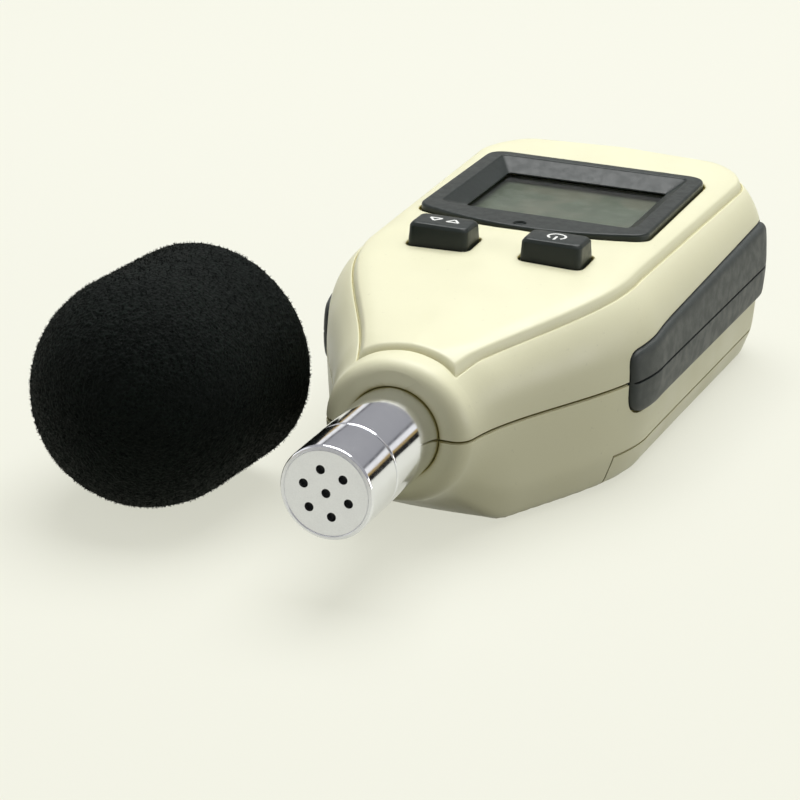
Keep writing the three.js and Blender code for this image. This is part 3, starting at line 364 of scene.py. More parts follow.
def foam_finish(colours):
    f = Finish("open_cell_foam", colours.foam, 0.8, specular_ior_level=0.1)
    cell = f.cells(0.5 * MM)
    fine = f.noise(0.35 * MM, 3, 0.7)
    tone = f.tones(f.span(cell, 0.2, 0.8), 0.3, 1.3)
    glint = f.mix(f.span(fine, 0.58, 0.75), tone, f.shade(4.5))
    f.colour(f.mix(f.span(f.noise(7 * MM, 3), 0.4, 0.7), glint, f.shade(0.7)))
    f.rough(f.span(fine, 0.2, 0.8, 0.6, 0.9))
    f.bumps((cell, 0.2 * MM), (fine, 0.12 * MM))
    return f.material


def board_finish(colours):
    """Solder resist over copper tracks on a fine glass weave."""
    f = Finish("circuit_board", colours.board, 0.3, coat_weight=0.2)
    grid = f.add("ShaderNodeTexBrick", {
        "Vector": f.place, "Scale": 1 / (5 * MM), "Mortar Size": 0.06, "Mortar Smooth": 0.1,
        "Brick Width": 1.4, "Row Height": 0.45,
    })
    track = grid.outputs["Fac"]
    weave = f.add("ShaderNodeTexWave", {"Vector": f.place, "Scale": 900, "Distortion": 1.5}).outputs[1]
    f.colour(f.tones(track, 0.8, 1.9))
    f.uneven(0.25, 0.4, 2 * MM)
    f.bumps((track, 0.035 * MM), (weave, 0.004 * MM))
    return f.material


def jacket_finish(colours):
    """Printed film on a battery cell, with a pale band near one end."""
    f = Finish("cell_jacket", colours.jacket, 0.28, coat_weight=0.4)
    along = f.add("ShaderNodeSeparateXYZ", {"Vector": f.place}).outputs["Y"]
    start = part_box("battery_cell_1")[0].y + 12 * MM
    band = f.span(along, start, start + 0.2 * MM)
    tone = f.tones(f.noise(6 * MM, 3), 0.85, 1.2)
    f.colour(f.mix(band, (0.62, 0.47, 0.16), tone))
    f.uneven(0.2, 0.36, 1.5 * MM)
    f.bumps((f.noise(0.6 * MM, 2), 0.008 * MM))
    return f.material


def mesh_cloth_finish():
    """Woven dust cloth behind the microphone holes."""
    f = Finish("dust_cloth", (0.03, 0.031, 0.032), 0.85)
    across = f.add("ShaderNodeTexWave", {"Vector": f.place, "Scale": 1200}).outputs[1]
    up = f.add("ShaderNodeTexWave", {"Vector": f.place, "Scale": 1200}, bands_direction="Z").outputs[1]
    weave = f.sum("MAXIMUM", across, up)
    f.colour(f.tones(weave, 0.4, 1.6))
    f.bumps((weave, 0.03 * MM))
    return f.material


def print_finish(colours):
    """Pad print on the buttons, with slight wear."""
    f = Finish("pad_print", colours.mark, 0.55)
    wear = f.span(f.noise(0.35 * MM, 4), 0.62, 0.75)
    f.colour(f.tones(wear, 1.0, 0.45))
    f.bumps((f.noise(0.1 * MM, 2), 0.004 * MM))
    return f.material


# ------------------------------------------------------------------ mesh helpers

def full_turn(count):
    """Angles of count points evenly round a circle."""
    return np.linspace(0, 2 * math.pi, count, endpoint=False)


def new_object(name, data):
    obj = bpy.data.objects.new(name, data)
    bpy.context.scene.collection.objects.link(obj)
    return obj


def paint(obj, material):
    """Makes material the only one on obj."""
    obj.data.materials.clear()
    obj.data.materials.append(material)
    return obj


def mesh_from(name, points, faces):
    """A mesh with its faces turned outwards."""
    mesh = bpy.data.meshes.new(name)
    mesh.from_pydata([tuple(map(float, p)) for p in points], [], faces)
    work = bmesh.new()
    work.from_mesh(mesh)
    bmesh.ops.remove_doubles(work, verts=work.verts, dist=1e-7)
    bmesh.ops.recalc_face_normals(work, faces=work.faces)
    work.to_mesh(mesh)
    work.free()
    return mesh


def ring_solid(rings, ends=True):
    """Points and faces of a skin over rings, an array (rings, points, 3).

    ends closes the first and last ring with fans; otherwise the last ring joins the first.
    """
    count, size = rings.shape[:2]
    points = rings.reshape(-1, 3).tolist()
    faces = []
    for k in range(count - 1 if ends else count):
        for i in range(size):
            a, b = k * size + i, k * size + (i + 1) % size
            c, d = ((k + 1) % count) * size + i, ((k + 1) % count) * size + (i + 1) % size
            faces.append((a, b, d, c))
    if ends:
        for k in (0, count - 1):
            middle = len(points)
            points.append(rings[k].mean(0).tolist())
            faces += [(middle, k * size + i, k * size + (i + 1) % size) for i in range(size)]
    return points, faces


def ring_object(name, rings, ends=True):
    return new_object(name, mesh_from(name, *ring_solid(np.asarray(rings, float), ends)))


def settle(obj):
    """Applies the modifiers of obj to its mesh."""
    bpy.context.view_layer.update()
    graph = bpy.context.evaluated_depsgraph_get()
    mesh = bpy.data.meshes.new_from_object(obj.evaluated_get(graph))
    obj.modifiers.clear()
    obj.data = mesh
    return obj


def carve(body, cutter, operation="DIFFERENCE"):
    """Cuts body with cutter, or joins or intersects them, and removes cutter."""
    change = body.modifiers.new("carve", "BOOLEAN")
    change.object = cutter
    change.operation = operation
    change.solver = "MANIFOLD"
    settle(body)
    bpy.data.objects.remove(cutter)
    return body


def soften(obj, angle=32):
    """Smooth shading with sharp edges where faces meet at more than angle."""
    for face in obj.data.polygons:
        face.use_smooth = True
    obj.data.set_sharp_from_angle(angle=math.radians(angle))
    weigh = obj.modifiers.new("weigh", "WEIGHTED_NORMAL")
    weigh.keep_sharp = True
    return settle(obj)


def level(ring, z):
    return np.column_stack([ring, np.broadcast_to(z, len(ring))])


def stack(name, *levels):
    """A solid through outlines seen from above, each given with its height."""
    return ring_object(name, [level(ring, z) for ring, z in levels])


def block(name, low, high):
    x0, y0, z0 = low
    x1, y1, z1 = high
    ring = [(x0, y0), (x1, y0), (x1, y1), (x0, y1)]
    return stack(name, (ring, z0), (ring, z1))


def lathe(name, profile, centre=(0, 0), sides=96, ends=True):
    """Turns a profile of (radius, y) about a line along Y through centre, given as (x, z)."""
    turn = full_turn(sides)
    rings = [
        np.column_stack([centre[0] + r * np.cos(turn), np.full(sides, y), centre[1] + r * np.sin(turn)])
        for r, y in profile
    ]
    return ring_object(name, rings, ends)


def post(name, x, y, radius, z0, z1):
    turn = full_turn(32)
    ring = np.column_stack([x + radius * np.cos(turn), y + radius * np.sin(turn)])
    return stack(name, (ring, z0), (ring, z1))


def bead(name, path, radius, closed=False):
    """A round bead along path, used to round the edges of a seam or a pocket."""
    path = np.asarray(path, float)
    if closed:
        along = np.roll(path, -1, 0) - np.roll(path, 1, 0)
    else:
        along = np.gradient(path, axis=0)
    along /= np.linalg.norm(along, axis=1)[:, None]
    up = np.array([0.0, 0.0, 1.0])
    side = np.cross(along, up)
    weak = np.linalg.norm(side, axis=1) < 0.1
    side[weak] = np.cross(along[weak], [0.0, 1.0, 0.0])
    side /= np.linalg.norm(side, axis=1)[:, None]
    normal = np.cross(side, along)
    turn = full_turn(8)
    rings = (path[:, None] + radius * (np.cos(turn)[None, :, None] * side[:, None]
                                       + np.sin(turn)[None, :, None] * normal[:, None]))
    return ring_object(name, rings, ends=not closed)


def place(obj, body, slot, *nodes):
    """Puts a finished piece on its body and hides the CAD nodes it stands for; slot is not used."""
    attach(obj, body)
    if nodes:
        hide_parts(*nodes)
    return obj


def repaint(material, *nodes):
    """Gives CAD nodes that stay a better material."""
    for node in nodes:
        paint(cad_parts[node], material)


# ------------------------------------------------------------------ the case's form

def curve(start, bend, end, u):
    """A quadratic curve's point, or points, at the shares u."""
    return start * (1 - u) ** 2 + bend * 2 * u * (1 - u) + end * u * u


def ease(t):
    t = np.clip(t, 0, 1)
    return t * t * (3 - 2 * t)


def rounding(distance, radius):
    """Quarter-round falloff near an edge: 0 in the clear, radius at the very edge."""
    reach = np.clip(radius - np.maximum(distance, 0), 0, radius)
    return radius - np.sqrt(radius * radius - reach * reach)


def extents(y, case):
    """Half width, top and bottom from the axis, and how square the section is above and below."""
    run = y - NOSE_Y
    full = case.half_width - case.taper
    straight = TAIL_Y - NOSE_Y - case.flare - case.tail_corner
    nose = rounding(run, case.nose_edge)
    tail = rounding(TAIL_Y - y, case.tail_edge)
    corner = rounding(TAIL_Y - y, case.tail_corner)
    width = (case.nose_radius + (full - case.nose_radius) * ease((run + 2.6 * MM) / case.flare)
             + case.taper * np.clip((run - case.flare) / straight, 0, 1) - nose - corner)
    crown = PANEL_TOP - case.panel_step - AXIS_Z
    lift = ease((run - 2.4 * MM) / (case.flare - 1 * MM))
    top = case.nose_top + (crown - case.nose_top) * lift - nose - tail
    drop = ease((run - 1 * MM) / case.belly_run)
    bottom = case.nose_bottom + (AXIS_Z - case.nose_bottom) * drop - nose - tail
    return width, top, bottom, ease((run - 2.5 * MM) / (9 * MM)), drop


def sections(y, case, inset=0.0, samples=9):
    """Right-hand half sections at every y, from top centre to bottom centre: (places, points, 2)."""
    y = np.asarray(y, float)
    width, top, bottom, square_top, square_bottom = extents(y, case)
    w, t, b = width - inset, top - inset, bottom - inset
    crease = -b * (AXIS_Z - case.crease) / AXIS_Z
    zero = np.zeros_like(y)
    corners = np.stack([
        np.stack([zero, t], -1),
        np.stack([w - case.shoulder, t - case.shoulder_drop], -1),
        np.stack([w - 0.6 * MM, t * 0.55], -1),
        np.stack([w, zero], -1),
        np.stack([w - case.draft, crease], -1),
        np.stack([w - case.draft - case.belly_inset, -b], -1),
        np.stack([zero, -b], -1),
    ], 1)
    cuts = np.array([5, 4, 3, 1, 1.4]) * MM
    spread = lambda a, c, count: [a + (c - a) * (i + 1) / (count + 1) for i in range(count)]
    bends = []
    for i in range(1, 6):
        a, p, c = corners[:, i - 1], corners[:, i], corners[:, i + 1]
        near, far = np.linalg.norm(a - p, axis=1), np.linalg.norm(c - p, axis=1)
        cut = np.minimum(cuts[i - 1], np.minimum(near, far) * 0.48)[:, None]
        start = p + (a - p) / near[:, None] * cut
        end = p + (c - p) / far[:, None] * cut
        bends.append([curve(start, p, end, u) for u in np.linspace(0, 1, samples + 1)])
    path = [corners[:, 0], *spread(corners[:, 0], bends[0][0], 16)]
    for i, bend in enumerate(bends):
        path += bend
        if i < 4:
            path += spread(bend[-1], bends[i + 1][0], 3)
    path += [*spread(bends[-1][-1], corners[:, 6], 12), corners[:, 6]]
    path = np.stack(path, 1)
    x, z = path[..., 0], path[..., 1]
    reach = np.where(z >= 0, t[:, None], b[:, None])
    turn = np.arctan2(z / reach, x / w[:, None])
    round_x, round_z = w[:, None] * np.cos(turn), reach * np.sin(turn)
    square = np.where(z >= 0, square_top[:, None], square_bottom[:, None])
    return np.stack([round_x + (x - round_x) * square, round_z + (z - round_z) * square], -1)


def top_at(x, y, case, inset=0.0):
    """Height above the axis of the upper surface, without the raised panel, at each x and y."""
    x, y = np.broadcast_arrays(np.abs(np.asarray(x, float)), np.asarray(y, float))
    lines = sections(y.ravel(), case, inset, 6)
    found = [np.interp(v, line[:34, 0], line[:34, 1]) for v, line in zip(x.ravel(), lines)]
    return np.array(found).reshape(x.shape)


def side_at(y, z, case):
    """Half width of the case at each y and each height above the axis."""
    y, z = np.broadcast_arrays(np.asarray(y, float), np.asarray(z, float))
    lines = sections(y.ravel(), case, 0.0, 6)
    found = []
    for height, line in zip(z.ravel(), lines):
        part = line[17:-13]
        found.append(np.interp(-height, -part[:, 1], part[:, 0]))
    return np.array(found).reshape(y.shape)


def resample(line, marks):
    """Points at the given shares of a polyline's length."""
    step = np.linalg.norm(np.diff(line, axis=0), axis=1)
    run = np.concatenate([[0], np.cumsum(step)])
    return np.column_stack([np.interp(np.asarray(marks) * run[-1], run, line[:, k]) for k in (0, 1)])


def clustered(count, distances, total):
    """Shares of total with the given distances kept clear at both ends and count steps between."""
    ends = np.array(distances) / total
    middle = np.linspace(ends[-1], 1 - ends[-1], count + 1)[1:-1]
    return np.concatenate([ends, middle, 1 - ends[::-1]])


EDGE_STEPS = [0, 0.12 * MM, 0.25 * MM, 0.4 * MM, 0.6 * MM, 0.9 * MM, 1.3 * MM]


def stations(case, around=()):
    """Places along Y, close together at the rounded ends and around the places given."""
    nose = NOSE_Y + case.nose_edge * (1 - np.cos(np.linspace(0, math.pi / 2, 10)))
    body = np.linspace(NOSE_Y + case.nose_edge, TAIL_Y - case.tail_corner, 72)
    tail = TAIL_Y - case.tail_corner + case.tail_corner * np.sin(np.linspace(0, math.pi / 2, 22))
    extra = [c + s * d for c in around for d in EDGE_STEPS[:6] for s in (-1, 1)]
    every = np.unique(np.round(np.concatenate([nose, body, tail, extra]), 7))
    keep = [every[0]]
    for y in every[1:]:
        if y - keep[-1] > 0.03 * MM:
            keep.append(y)
    return np.array(keep)


def panel_lift(inside, case):
    """Height added at a distance inside the panel's edge, with a groove just outside it."""
    step = case.panel_step * ease((inside + 0.25 * MM) / (1.0 * MM))
    groove = case.groove * np.exp(-((inside + 0.32 * MM) / (0.3 * MM)) ** 2)
    return step - groove


def upper_solid(case):
    """The front half's outer form, closed along the parting plane, with the panel and its groove."""
    start = NOSE_Y + case.panel_start
    rows = stations(case, around=[start])
    near_edge = np.array([0.9, 0.6, 0.4, 0.25, 0.12, 0.0]) * MM
    rings = []
    for y in rows:
        line = sections(np.array([y]), case)[0]
        width = line[:, 0].max()
        edge = max(width - case.panel_inset, width * 0.45)
        shares = np.concatenate([np.linspace(0, 1 - 1.4 * MM / edge, 22), 1 - near_edge / edge])
        fade = ease(1 - abs(y - start) / (7 * MM))
        bowed = y + case.panel_hollow * (1 - shares ** 2) * fade
        x = edge * shares
        local_edge = np.maximum(extents(bowed, case)[0] - case.panel_inset, edge * 0.5)
        x = np.minimum(x, local_edge)
        z = top_at(x, bowed, case)
        front = start + case.panel_hollow * (1 - shares ** 2)
        inside = np.minimum(local_edge - x, bowed - front)
        top_points = np.column_stack([x, bowed, z + panel_lift(inside, case)])
        split = np.searchsorted(line[:40, 0], edge)
        first = np.array([edge, np.interp(edge, line[:40, 0], line[:40, 1])])
        rest = line[split:]
        below = np.searchsorted(-rest[:, 1], -HALF_GAP)
        last = np.array([np.interp(-HALF_GAP, -rest[:, 1], rest[:, 0]), HALF_GAP])
        side = np.vstack([first, rest[:below], last])
        step = np.linalg.norm(np.diff(side, axis=0), axis=1).sum()
        marks = np.concatenate([
            np.array([0.12, 0.25, 0.4, 0.6, 0.9, 1.3]) * MM / step,
            np.linspace(1.3 * MM / step, 1, 30)[1:],
        ])
        flank = resample(side, marks)
        inside = np.minimum(-marks * step, y - start)
        flank[:, 1] += panel_lift(inside, case)
        side_points = np.column_stack([flank[:, 0], np.full(len(flank), y), flank[:, 1]])
        half = np.vstack([top_points, side_points])
        half[:, 2] += AXIS_Z
        mirrored = half[1:] * [-1, 1, 1]
        floor = [[0, y, AXIS_Z + HALF_GAP]]
        rings.append(np.vstack([half, floor, mirrored[::-1]]))
    return ring_object("front_case", rings)


def lower_solid(case, name, seam_y):
    """The rear half's outer form, closed along the parting plane."""
    rings = []
    for y in stations(case, around=[seam_y]):
        line = sections(np.array([y]), case)[0]
        begin = np.searchsorted(-line[:, 1], HALF_GAP)
        first = [np.interp(HALF_GAP, -line[17:-13, 1], line[17:-13, 0]), -HALF_GAP]
        lower = np.vstack([first, line[begin:]])
        length_of = np.linalg.norm(np.diff(lower, axis=0), axis=1).sum()
        half = resample(lower, clustered(52, EDGE_STEPS[:3], length_of))
        points = np.column_stack([half[:, 0], np.full(len(half), y), half[:, 1] + AXIS_Z])
        mirrored = points[:-1] * [-1, 1, 1]
        lid = [[0, y, AXIS_Z - HALF_GAP]]
        rings.append(np.vstack([points, mirrored[::-1], lid]))
    return ring_object(name, rings)


def inner_solid(case, name):
    """The cavity inside both halves, one wall in from the outside."""
    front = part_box("nose_bush")[1].y + 2.3 * MM
    turn = TAIL_Y - case.tail_corner
    rear = TAIL_Y - case.wall
    round_end = turn + (rear - turn) * np.sin(np.linspace(0.1, math.pi / 2, 9))
    rows = np.concatenate([np.linspace(front, turn, 26), round_end])
    rings = []
    for line, y in zip(sections(rows, case, case.wall, 3), rows):
        half = np.column_stack([line[:, 0], np.full(len(line), y), line[:, 1] + AXIS_Z])
        rings.append(np.vstack([half, (half[1:-1] * [-1, 1, 1])[::-1]]))
    return ring_object(name, rings)


# ------------------------------------------------------------------ outlines seen from above

def arc(corner, before, after, radius, samples):
    """A rounded corner as a quadratic curve, from the side of before to the side of after."""
    corner, before, after = (np.asarray(p, float) for p in (corner, before, after))
    start = corner + (before - corner) / np.linalg.norm(before - corner) * radius
    end = corner + (after - corner) / np.linalg.norm(after - corner) * radius
    return curve(start, corner, end, np.linspace(0, 1, samples)[:, None])


def frame_outline(half, near, far, bow, near_radius, far_radius):
    """Closed outline of a frame whose near edge bows towards the microphone, always 84 points."""
    corners = [(-half, near), (half, near), (half, far), (-half, far)]
    arcs = rounded(corners, [near_radius, near_radius, far_radius, far_radius], 9)
    out = []
    for i in range(4):
        out.append(arcs[i])
        a, b = arcs[i][-1], arcs[(i + 1) % 4][0]
        u = np.linspace(0, 1, 14)[1:-1][:, None]
        out.append(a + (b - a) * u)
    ring = np.vstack(out)
    push = np.where(ring[:, 1] < (near + far) / 2, 1 - (ring[:, 0] / half) ** 2, 0)
    edge = ring[:, 1] < near + near_radius + 1e-6
    ring[:, 1] -= np.where(edge, bow * push, 0)
    return ring


def grown(ring, by):
    """The outline moved outwards by a distance. It runs anticlockwise."""
    along = np.roll(ring, -1, 0) - np.roll(ring, 1, 0)
    along /= np.maximum(np.linalg.norm(along, axis=1)[:, None], 1e-12)
    return ring + by * np.column_stack([along[:, 1], -along[:, 0]])


def rounded(corners, radii, samples):
    """An arc for each of four corners."""
    return [arc(corners[i], corners[i - 1], corners[(i + 1) % 4], radii[i], samples) for i in range(4)]


def rectangle(low, high, radius, samples=7):
    corners = [(low[0], low[1]), (high[0], low[1]), (high[0], high[1]), (low[0], high[1])]
    return np.vstack(rounded(corners, [radius] * 4, samples))


def panel_at(x, y, case):
    """Height of the raised panel."""
    return AXIS_Z + top_at(x, y, case) + case.panel_step


# ------------------------------------------------------------------ grips

def grip_outline(by):
    """Side view of a grip in (y, z from the axis), anticlockwise from the front end's foot."""
    front, rear = GRIP_LOW.y - by, GRIP_HIGH.y + by
    top = GRIP_HIGH.z - AXIS_Z + by
    foot = AXIS_Z - REAR_GRIP_LOW.z + by
    fall = 3 * MM  # how far the top edge drops towards the front
    curves = [
        [(front, -foot * 0.2), (front, -foot * 0.95), (front + 4.5 * MM, -foot)],
        [(rear - 5 * MM, -foot), (rear, -foot), (rear, -foot * 0.4)],
        [(rear, top - 5 * MM), (rear, top), (rear - 5 * MM, top)],
        [(front + 18 * MM, top - fall * 0.62), (front + 14 * MM, top - fall * 0.7),
         (front + 10 * MM, top - fall * 0.83)],
        [(front + 3.2 * MM, top - fall), (front, top - fall), (front, top - fall - 2.6 * MM)],
    ]
    u = np.linspace(0, 1, 15)[:, None]
    return np.vstack([curve(*np.array(bend), u) for bend in curves])


def distance_to(points, ring):
    """Distance from each point to a closed outline."""
    a, b = ring, np.roll(ring, -1, 0)
    along = b - a
    square = np.maximum((along ** 2).sum(1), 1e-18)
    u = np.clip(((points[:, None] - a) * along).sum(2) / square, 0, 1)
    gap = points[:, None] - (a + along * u[..., None])
    return np.sqrt((gap ** 2).sum(2)).min(1)


def crossings(ring, y):
    """Lowest and highest z of a convex outline at y."""
    a, b = ring, np.roll(ring, -1, 0)
    hit = (np.minimum(a[:, 0], b[:, 0]) <= y) & (np.maximum(a[:, 0], b[:, 0]) >= y)
    run = b[hit, 0] - a[hit, 0]
    flat = np.abs(run) < 1e-12
    u = np.where(flat, 0, (y - a[hit, 0]) / np.where(flat, 1, run))
    z = a[hit, 1] + (b[hit, 1] - a[hit, 1]) * u
    z = np.concatenate([z, b[hit, 1][flat]])
    return z.min(), z.max()


def grip_grid(ring, low_limit, high_limit):
    """Places (y, z) all over the part of an outline between two heights, closer at its rim."""
    front, rear = ring[:, 0].min(), ring[:, 0].max()
    ends = np.array([0, 0.1, 0.3, 0.6, 1, 1.6, 2.4, 3.4, 4.6]) * MM
    sides = np.array([0, 0.1, 0.25, 0.45, 0.8, 1.2]) * MM
    grid = []
    for y in front + (rear - front) * clustered(70, ends, rear - front):
        low, high = crossings(ring, y)
        low, high = max(low, low_limit), min(high, high_limit)
        high = max(high, low + 3 * MM)
        heights = low + (high - low) * clustered(13, sides, high - low)
        grid.append(np.column_stack([np.full(len(heights), y), heights]))
    return np.array(grid)


def side_slab(name, case, side, grid, inner, outer):
    """A slab between two shares of the case's side, at the places of a grid."""
    surface = side_at(grid[..., 0], grid[..., 1], case)
    rings = []
    for places, near, far in zip(grid, surface * inner, surface * outer):
        face = np.column_stack([side * far, places[:, 0], AXIS_Z + places[:, 1]])
        back = np.column_stack([side * near, places[:, 0], AXIS_Z + places[:, 1]])
        rings.append(np.vstack([face, back[::-1]]))
    return ring_object(name, rings)


def grip_solid(case, side, upper, name):
    """Half a grip: its face follows the case, stands proud of it and has a bevelled rim."""
    ring = grip_outline(0)
    limits = (HALF_GAP, 1) if upper else (-1, -HALF_GAP)
    grid = grip_grid(ring, *limits)
    flat = grid.reshape(-1, 2)
    bevel = lambda d, r: np.sqrt(np.clip(1 - (1 - np.clip(d / r, 0, 1)) ** 2, 0, 1))
    rim = bevel(distance_to(flat, ring), case.grip_bevel)
    seam = 0.75 + 0.25 * bevel(np.abs(flat[:, 1]) - HALF_GAP, 0.12 * MM)
    rise = (case.grip_proud * np.minimum(rim, seam)).reshape(grid.shape[:2])
    return side_slab(name, case, side, grid, 1 - (case.grip_depth - 0.3 * MM) / case.half_width,
                     1 + rise / case.half_width)


def grip_pocket(case, side):
    """Cutter for the pocket that a grip sits in."""
    grid = grip_grid(grip_outline(0.3 * MM), -1, 1)
    return side_slab("pocket", case, side, grid, 1 - case.grip_depth / case.half_width, 1.2)


# ------------------------------------------------------------------ case halves and door

def seam_path(case, y_values, z):
    """Right-hand outline of the case at a height from the axis, as (x, y, z) points."""
    x = side_at(y_values, np.full(len(y_values), z), case)
    return np.column_stack([x, y_values, np.full(len(y_values), AXIS_Z + z)])


def nose_cutter():
    """Bore round the microphone, with a softened mouth, and the bush's seat."""
    low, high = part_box("nose_bush")
    seat = (high.x - low.x) / 2 + 0.3 * MM
    bore = MIC_RADIUS + 0.06 * MM
    y = NOSE_Y
    return lathe("bores", [
        (bore + 0.9 * MM, y - 1 * MM), (bore + 0.35 * MM, y - 0.02 * MM), (bore + 0.16 * MM, y + 0.05 * MM),
        (bore + 0.05 * MM, y + 0.14 * MM), (bore, y + 0.3 * MM), (bore, low.y - 0.3 * MM),
        (seat, low.y - 0.29 * MM), (seat, high.y + 0.3 * MM), (bore, high.y + 0.31 * MM),
        (bore, high.y + 8 * MM),
    ], (0, AXIS_Z), 72)


def finish_half(case, body, material):
    """Bores the nose and rounds the edges all round the parting line."""
    carve(body, nose_cutter())
    right = seam_path(case, stations(case)[1:-1], 0.0)
    left = (right * [-1, 1, 1])[::-1]
    carve(body, bead("parting", np.vstack([right, left]), case.seam, closed=True))
    return soften(paint(body, material))


def screw_spots(group):
    """Where each screw of a group stands, at its head."""
    boxes = [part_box(f"{group}_{i}") for i in range(1, 5)]
    return [((low.x + high.x) / 2, (low.y + high.y) / 2, low.z) for low, high in boxes]


def button_spots():
    """Name, centre and outline corners of each button where it passes the panel."""
    spots = []
    for word in ("range", "power"):
        low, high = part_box(f"{word}_button")
        spots.append((word, (low.x + LIP, low.y + LIP), (high.x - LIP, high.y - LIP), high.z))
    return spots


def bezel_ring(by=0.0):
    """Outline of the display's bezel, grown by a distance."""
    near = BEZEL_LOW.y + BEZEL_BOW - by
    return frame_outline(BEZEL_HIGH.x + by, near, BEZEL_HIGH.y + by, BEZEL_BOW, 2.3 * MM, 4.2 * MM)


def build_front_case(case, material):
    body = upper_solid(case)
    carve(body, inner_solid(case, "cavity"))
    for x, y, _ in screw_spots("case_screw"):
        roof = float(top_at(abs(x) + BOSS, y - BOSS, case))
        boss = post("boss", x, y, BOSS, AXIS_Z + HALF_GAP, AXIS_Z + roof - 0.9 * MM)
        carve(boss, post("hole", x, y, SHANK_ROOM, AXIS_Z - 1 * MM, AXIS_Z + 8 * MM))
        carve(body, boss, "UNION")
    ring = bezel_ring(FIT)
    crown = panel_at(ring[:, 0], ring[:, 1], case)
    floor = BEZEL_HIGH.z - BEZEL_PLATE - FIT
    carve(body, stack(
        "bezel_pocket", (ring, floor), (ring, crown - 0.22 * MM),
        (grown(ring, 0.1 * MM), crown - 0.08 * MM),
        (grown(ring, 0.3 * MM), crown + 0.02 * MM), (grown(ring, 0.4 * MM), PANEL_TOP + 3 * MM),
    ))
    across, near, far = COLLAR
    collar = rectangle((-across - FIT, near - FIT), (across + FIT, far + FIT), 1 * MM)
    carve(body, stack("collar_hole", (collar, PANEL_TOP - 9 * MM), (collar, PANEL_TOP + 1 * MM)))
    pieces = bpy.context.scene.meter_pieces
    for _, low, high, _ in button_spots():
        gap = 0.35 * MM
        hole = rectangle((low[0] - gap, low[1] - gap), (high[0] + gap, high[1] + gap),
                         pieces.button_corner + gap, 9)
        crown = panel_at(hole[:, 0], hole[:, 1], case)
        carve(body, stack(
            "button_hole", (hole, PANEL_TOP - 6 * MM), (hole, crown - 0.3 * MM),
            (grown(hole, 0.08 * MM), crown - 0.12 * MM), (grown(hole, 0.3 * MM), crown + 0.03 * MM),
            (grown(hole, 0.4 * MM), crown + 2 * MM),
        ))
        room = LIP + gap
        under = rectangle((low[0] - room, low[1] - room), (high[0] + room, high[1] + room), 1.5 * MM)
        carve(body, stack("lip_room", (under, PANEL_TOP - 9 * MM), (under, PANEL_TOP - 3 * MM)))
    for side in (-1, 1):
        carve(body, grip_pocket(case, side))
    return finish_half(case, body, material)


def build_rear_case(case, material):
    body = lower_solid(case, "rear_case", DOOR_LOW.y)
    cavity = inner_solid(case, "cavity")
    deck = block("deck", (-1, DOOR_EDGE - case.wall, -1), (1, 1, case.crease + case.wall))
    carve(cavity, deck)
    carve(body, cavity)
    cells_low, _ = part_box("battery_cell_1")
    _, cells_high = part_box("battery_cell_3")
    plate_low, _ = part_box("contact_plate_plus")
    _, plate_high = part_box("contact_plate_minus")
    half = max(-cells_low.x, cells_high.x) + 0.6 * MM
    y0, y1 = plate_low.y - 0.3 * MM, plate_high.y + 0.3 * MM
    ceiling = cells_high.z + 0.7 * MM
    wall = 1.4 * MM
    bottom = case.crease + 0.15 * MM
    bay = block("bay", (-half - wall, y0 - wall, bottom), (half + wall, y1 + wall, ceiling + wall))
    carve(body, bay, "UNION")
    for x, y, _ in screw_spots("case_screw"):
        carve(body, post("boss", x, y, BOSS, 1 * MM, AXIS_Z - HALF_GAP), "UNION")
    carve(body, block("bay_room", (-half, y0, -0.01), (half, y1, ceiling)))
    carve(body, block("door_room", (-1, DOOR_EDGE, -1), (1, 1, bottom)))
    for side in (-1, 1):
        x, half = side * TAB_X, TAB_HALF + FIT
        carve(body, block("tab_slot", (x - half, DOOR_EDGE - DOOR_TAB - FIT, 2.4 * MM),
                          (x + half, DOOR_EDGE + 6 * MM, 5.5 * MM)))
        carve(body, grip_pocket(case, side))
    for x, y, head in screw_spots("case_screw"):
        carve(body, post("head_room", x, y, 2.4 * MM, -0.01, head + 1.7 * MM))
        carve(body, post("shank_room", x, y, SHANK_ROOM, -0.01, AXIS_Z + 1 * MM))
    return finish_half(case, body, material)


def door_seam_path(case):
    """Seam round the battery door: along both creases and across the back in front."""
    z = case.crease - AXIS_Z
    y = TAIL_Y - (TAIL_Y - DOOR_EDGE) * (1 - np.sin(np.linspace(0, math.pi / 2, 70)))
    side = seam_path(case, y, z)
    line = sections(np.array([DOOR_EDGE]), case)[0]
    below = line[line[:, 1] < z]
    across = np.column_stack([below[:, 0], np.full(len(below), DOOR_EDGE), AXIS_Z + below[:, 1]])
    right = np.vstack([side[::-1], across])
    left = (right[:-1] * [-1, 1, 1])[::-1]
    return np.vstack([right, left])


def build_door(case, material):
    body = lower_solid(case, "battery_cover", DOOR_EDGE)
    gap = 0.35 * MM
    carve(body, block("zone", (-1, DOOR_EDGE + gap, -1), (1, 1, case.crease - 0.15 * MM)), "INTERSECT")
    cavity = inner_solid(case, "cavity")
    floor = 1.8 * MM
    carve(cavity, block("room", (-1, DOOR_EDGE - 1 * MM, floor), (1, TAIL_Y - 5 * MM, 1)), "INTERSECT")
    carve(body, cavity)
    carve(body, block("room", (-24 * MM, DOOR_EDGE - 1 * MM, floor), (24 * MM, TAIL_Y - 6 * MM, 1)))
    for side in (-1, 1):
        left, right = side * TAB_X - TAB_HALF, side * TAB_X + TAB_HALF
        rear = DOOR_EDGE + 6 * MM
        carve(body, block("tab", (left, DOOR_LOW.y, 2.7 * MM), (right, rear, 5.2 * MM)), "UNION")
        carve(body, block("foot", (left, DOOR_EDGE + 1 * MM, 0.9 * MM), (right, rear, 3 * MM)), "UNION")
    carve(body, bead("door_seam", door_seam_path(case), case.seam))
    carve(body, thumb_ribs())
    return soften(paint(body, material))


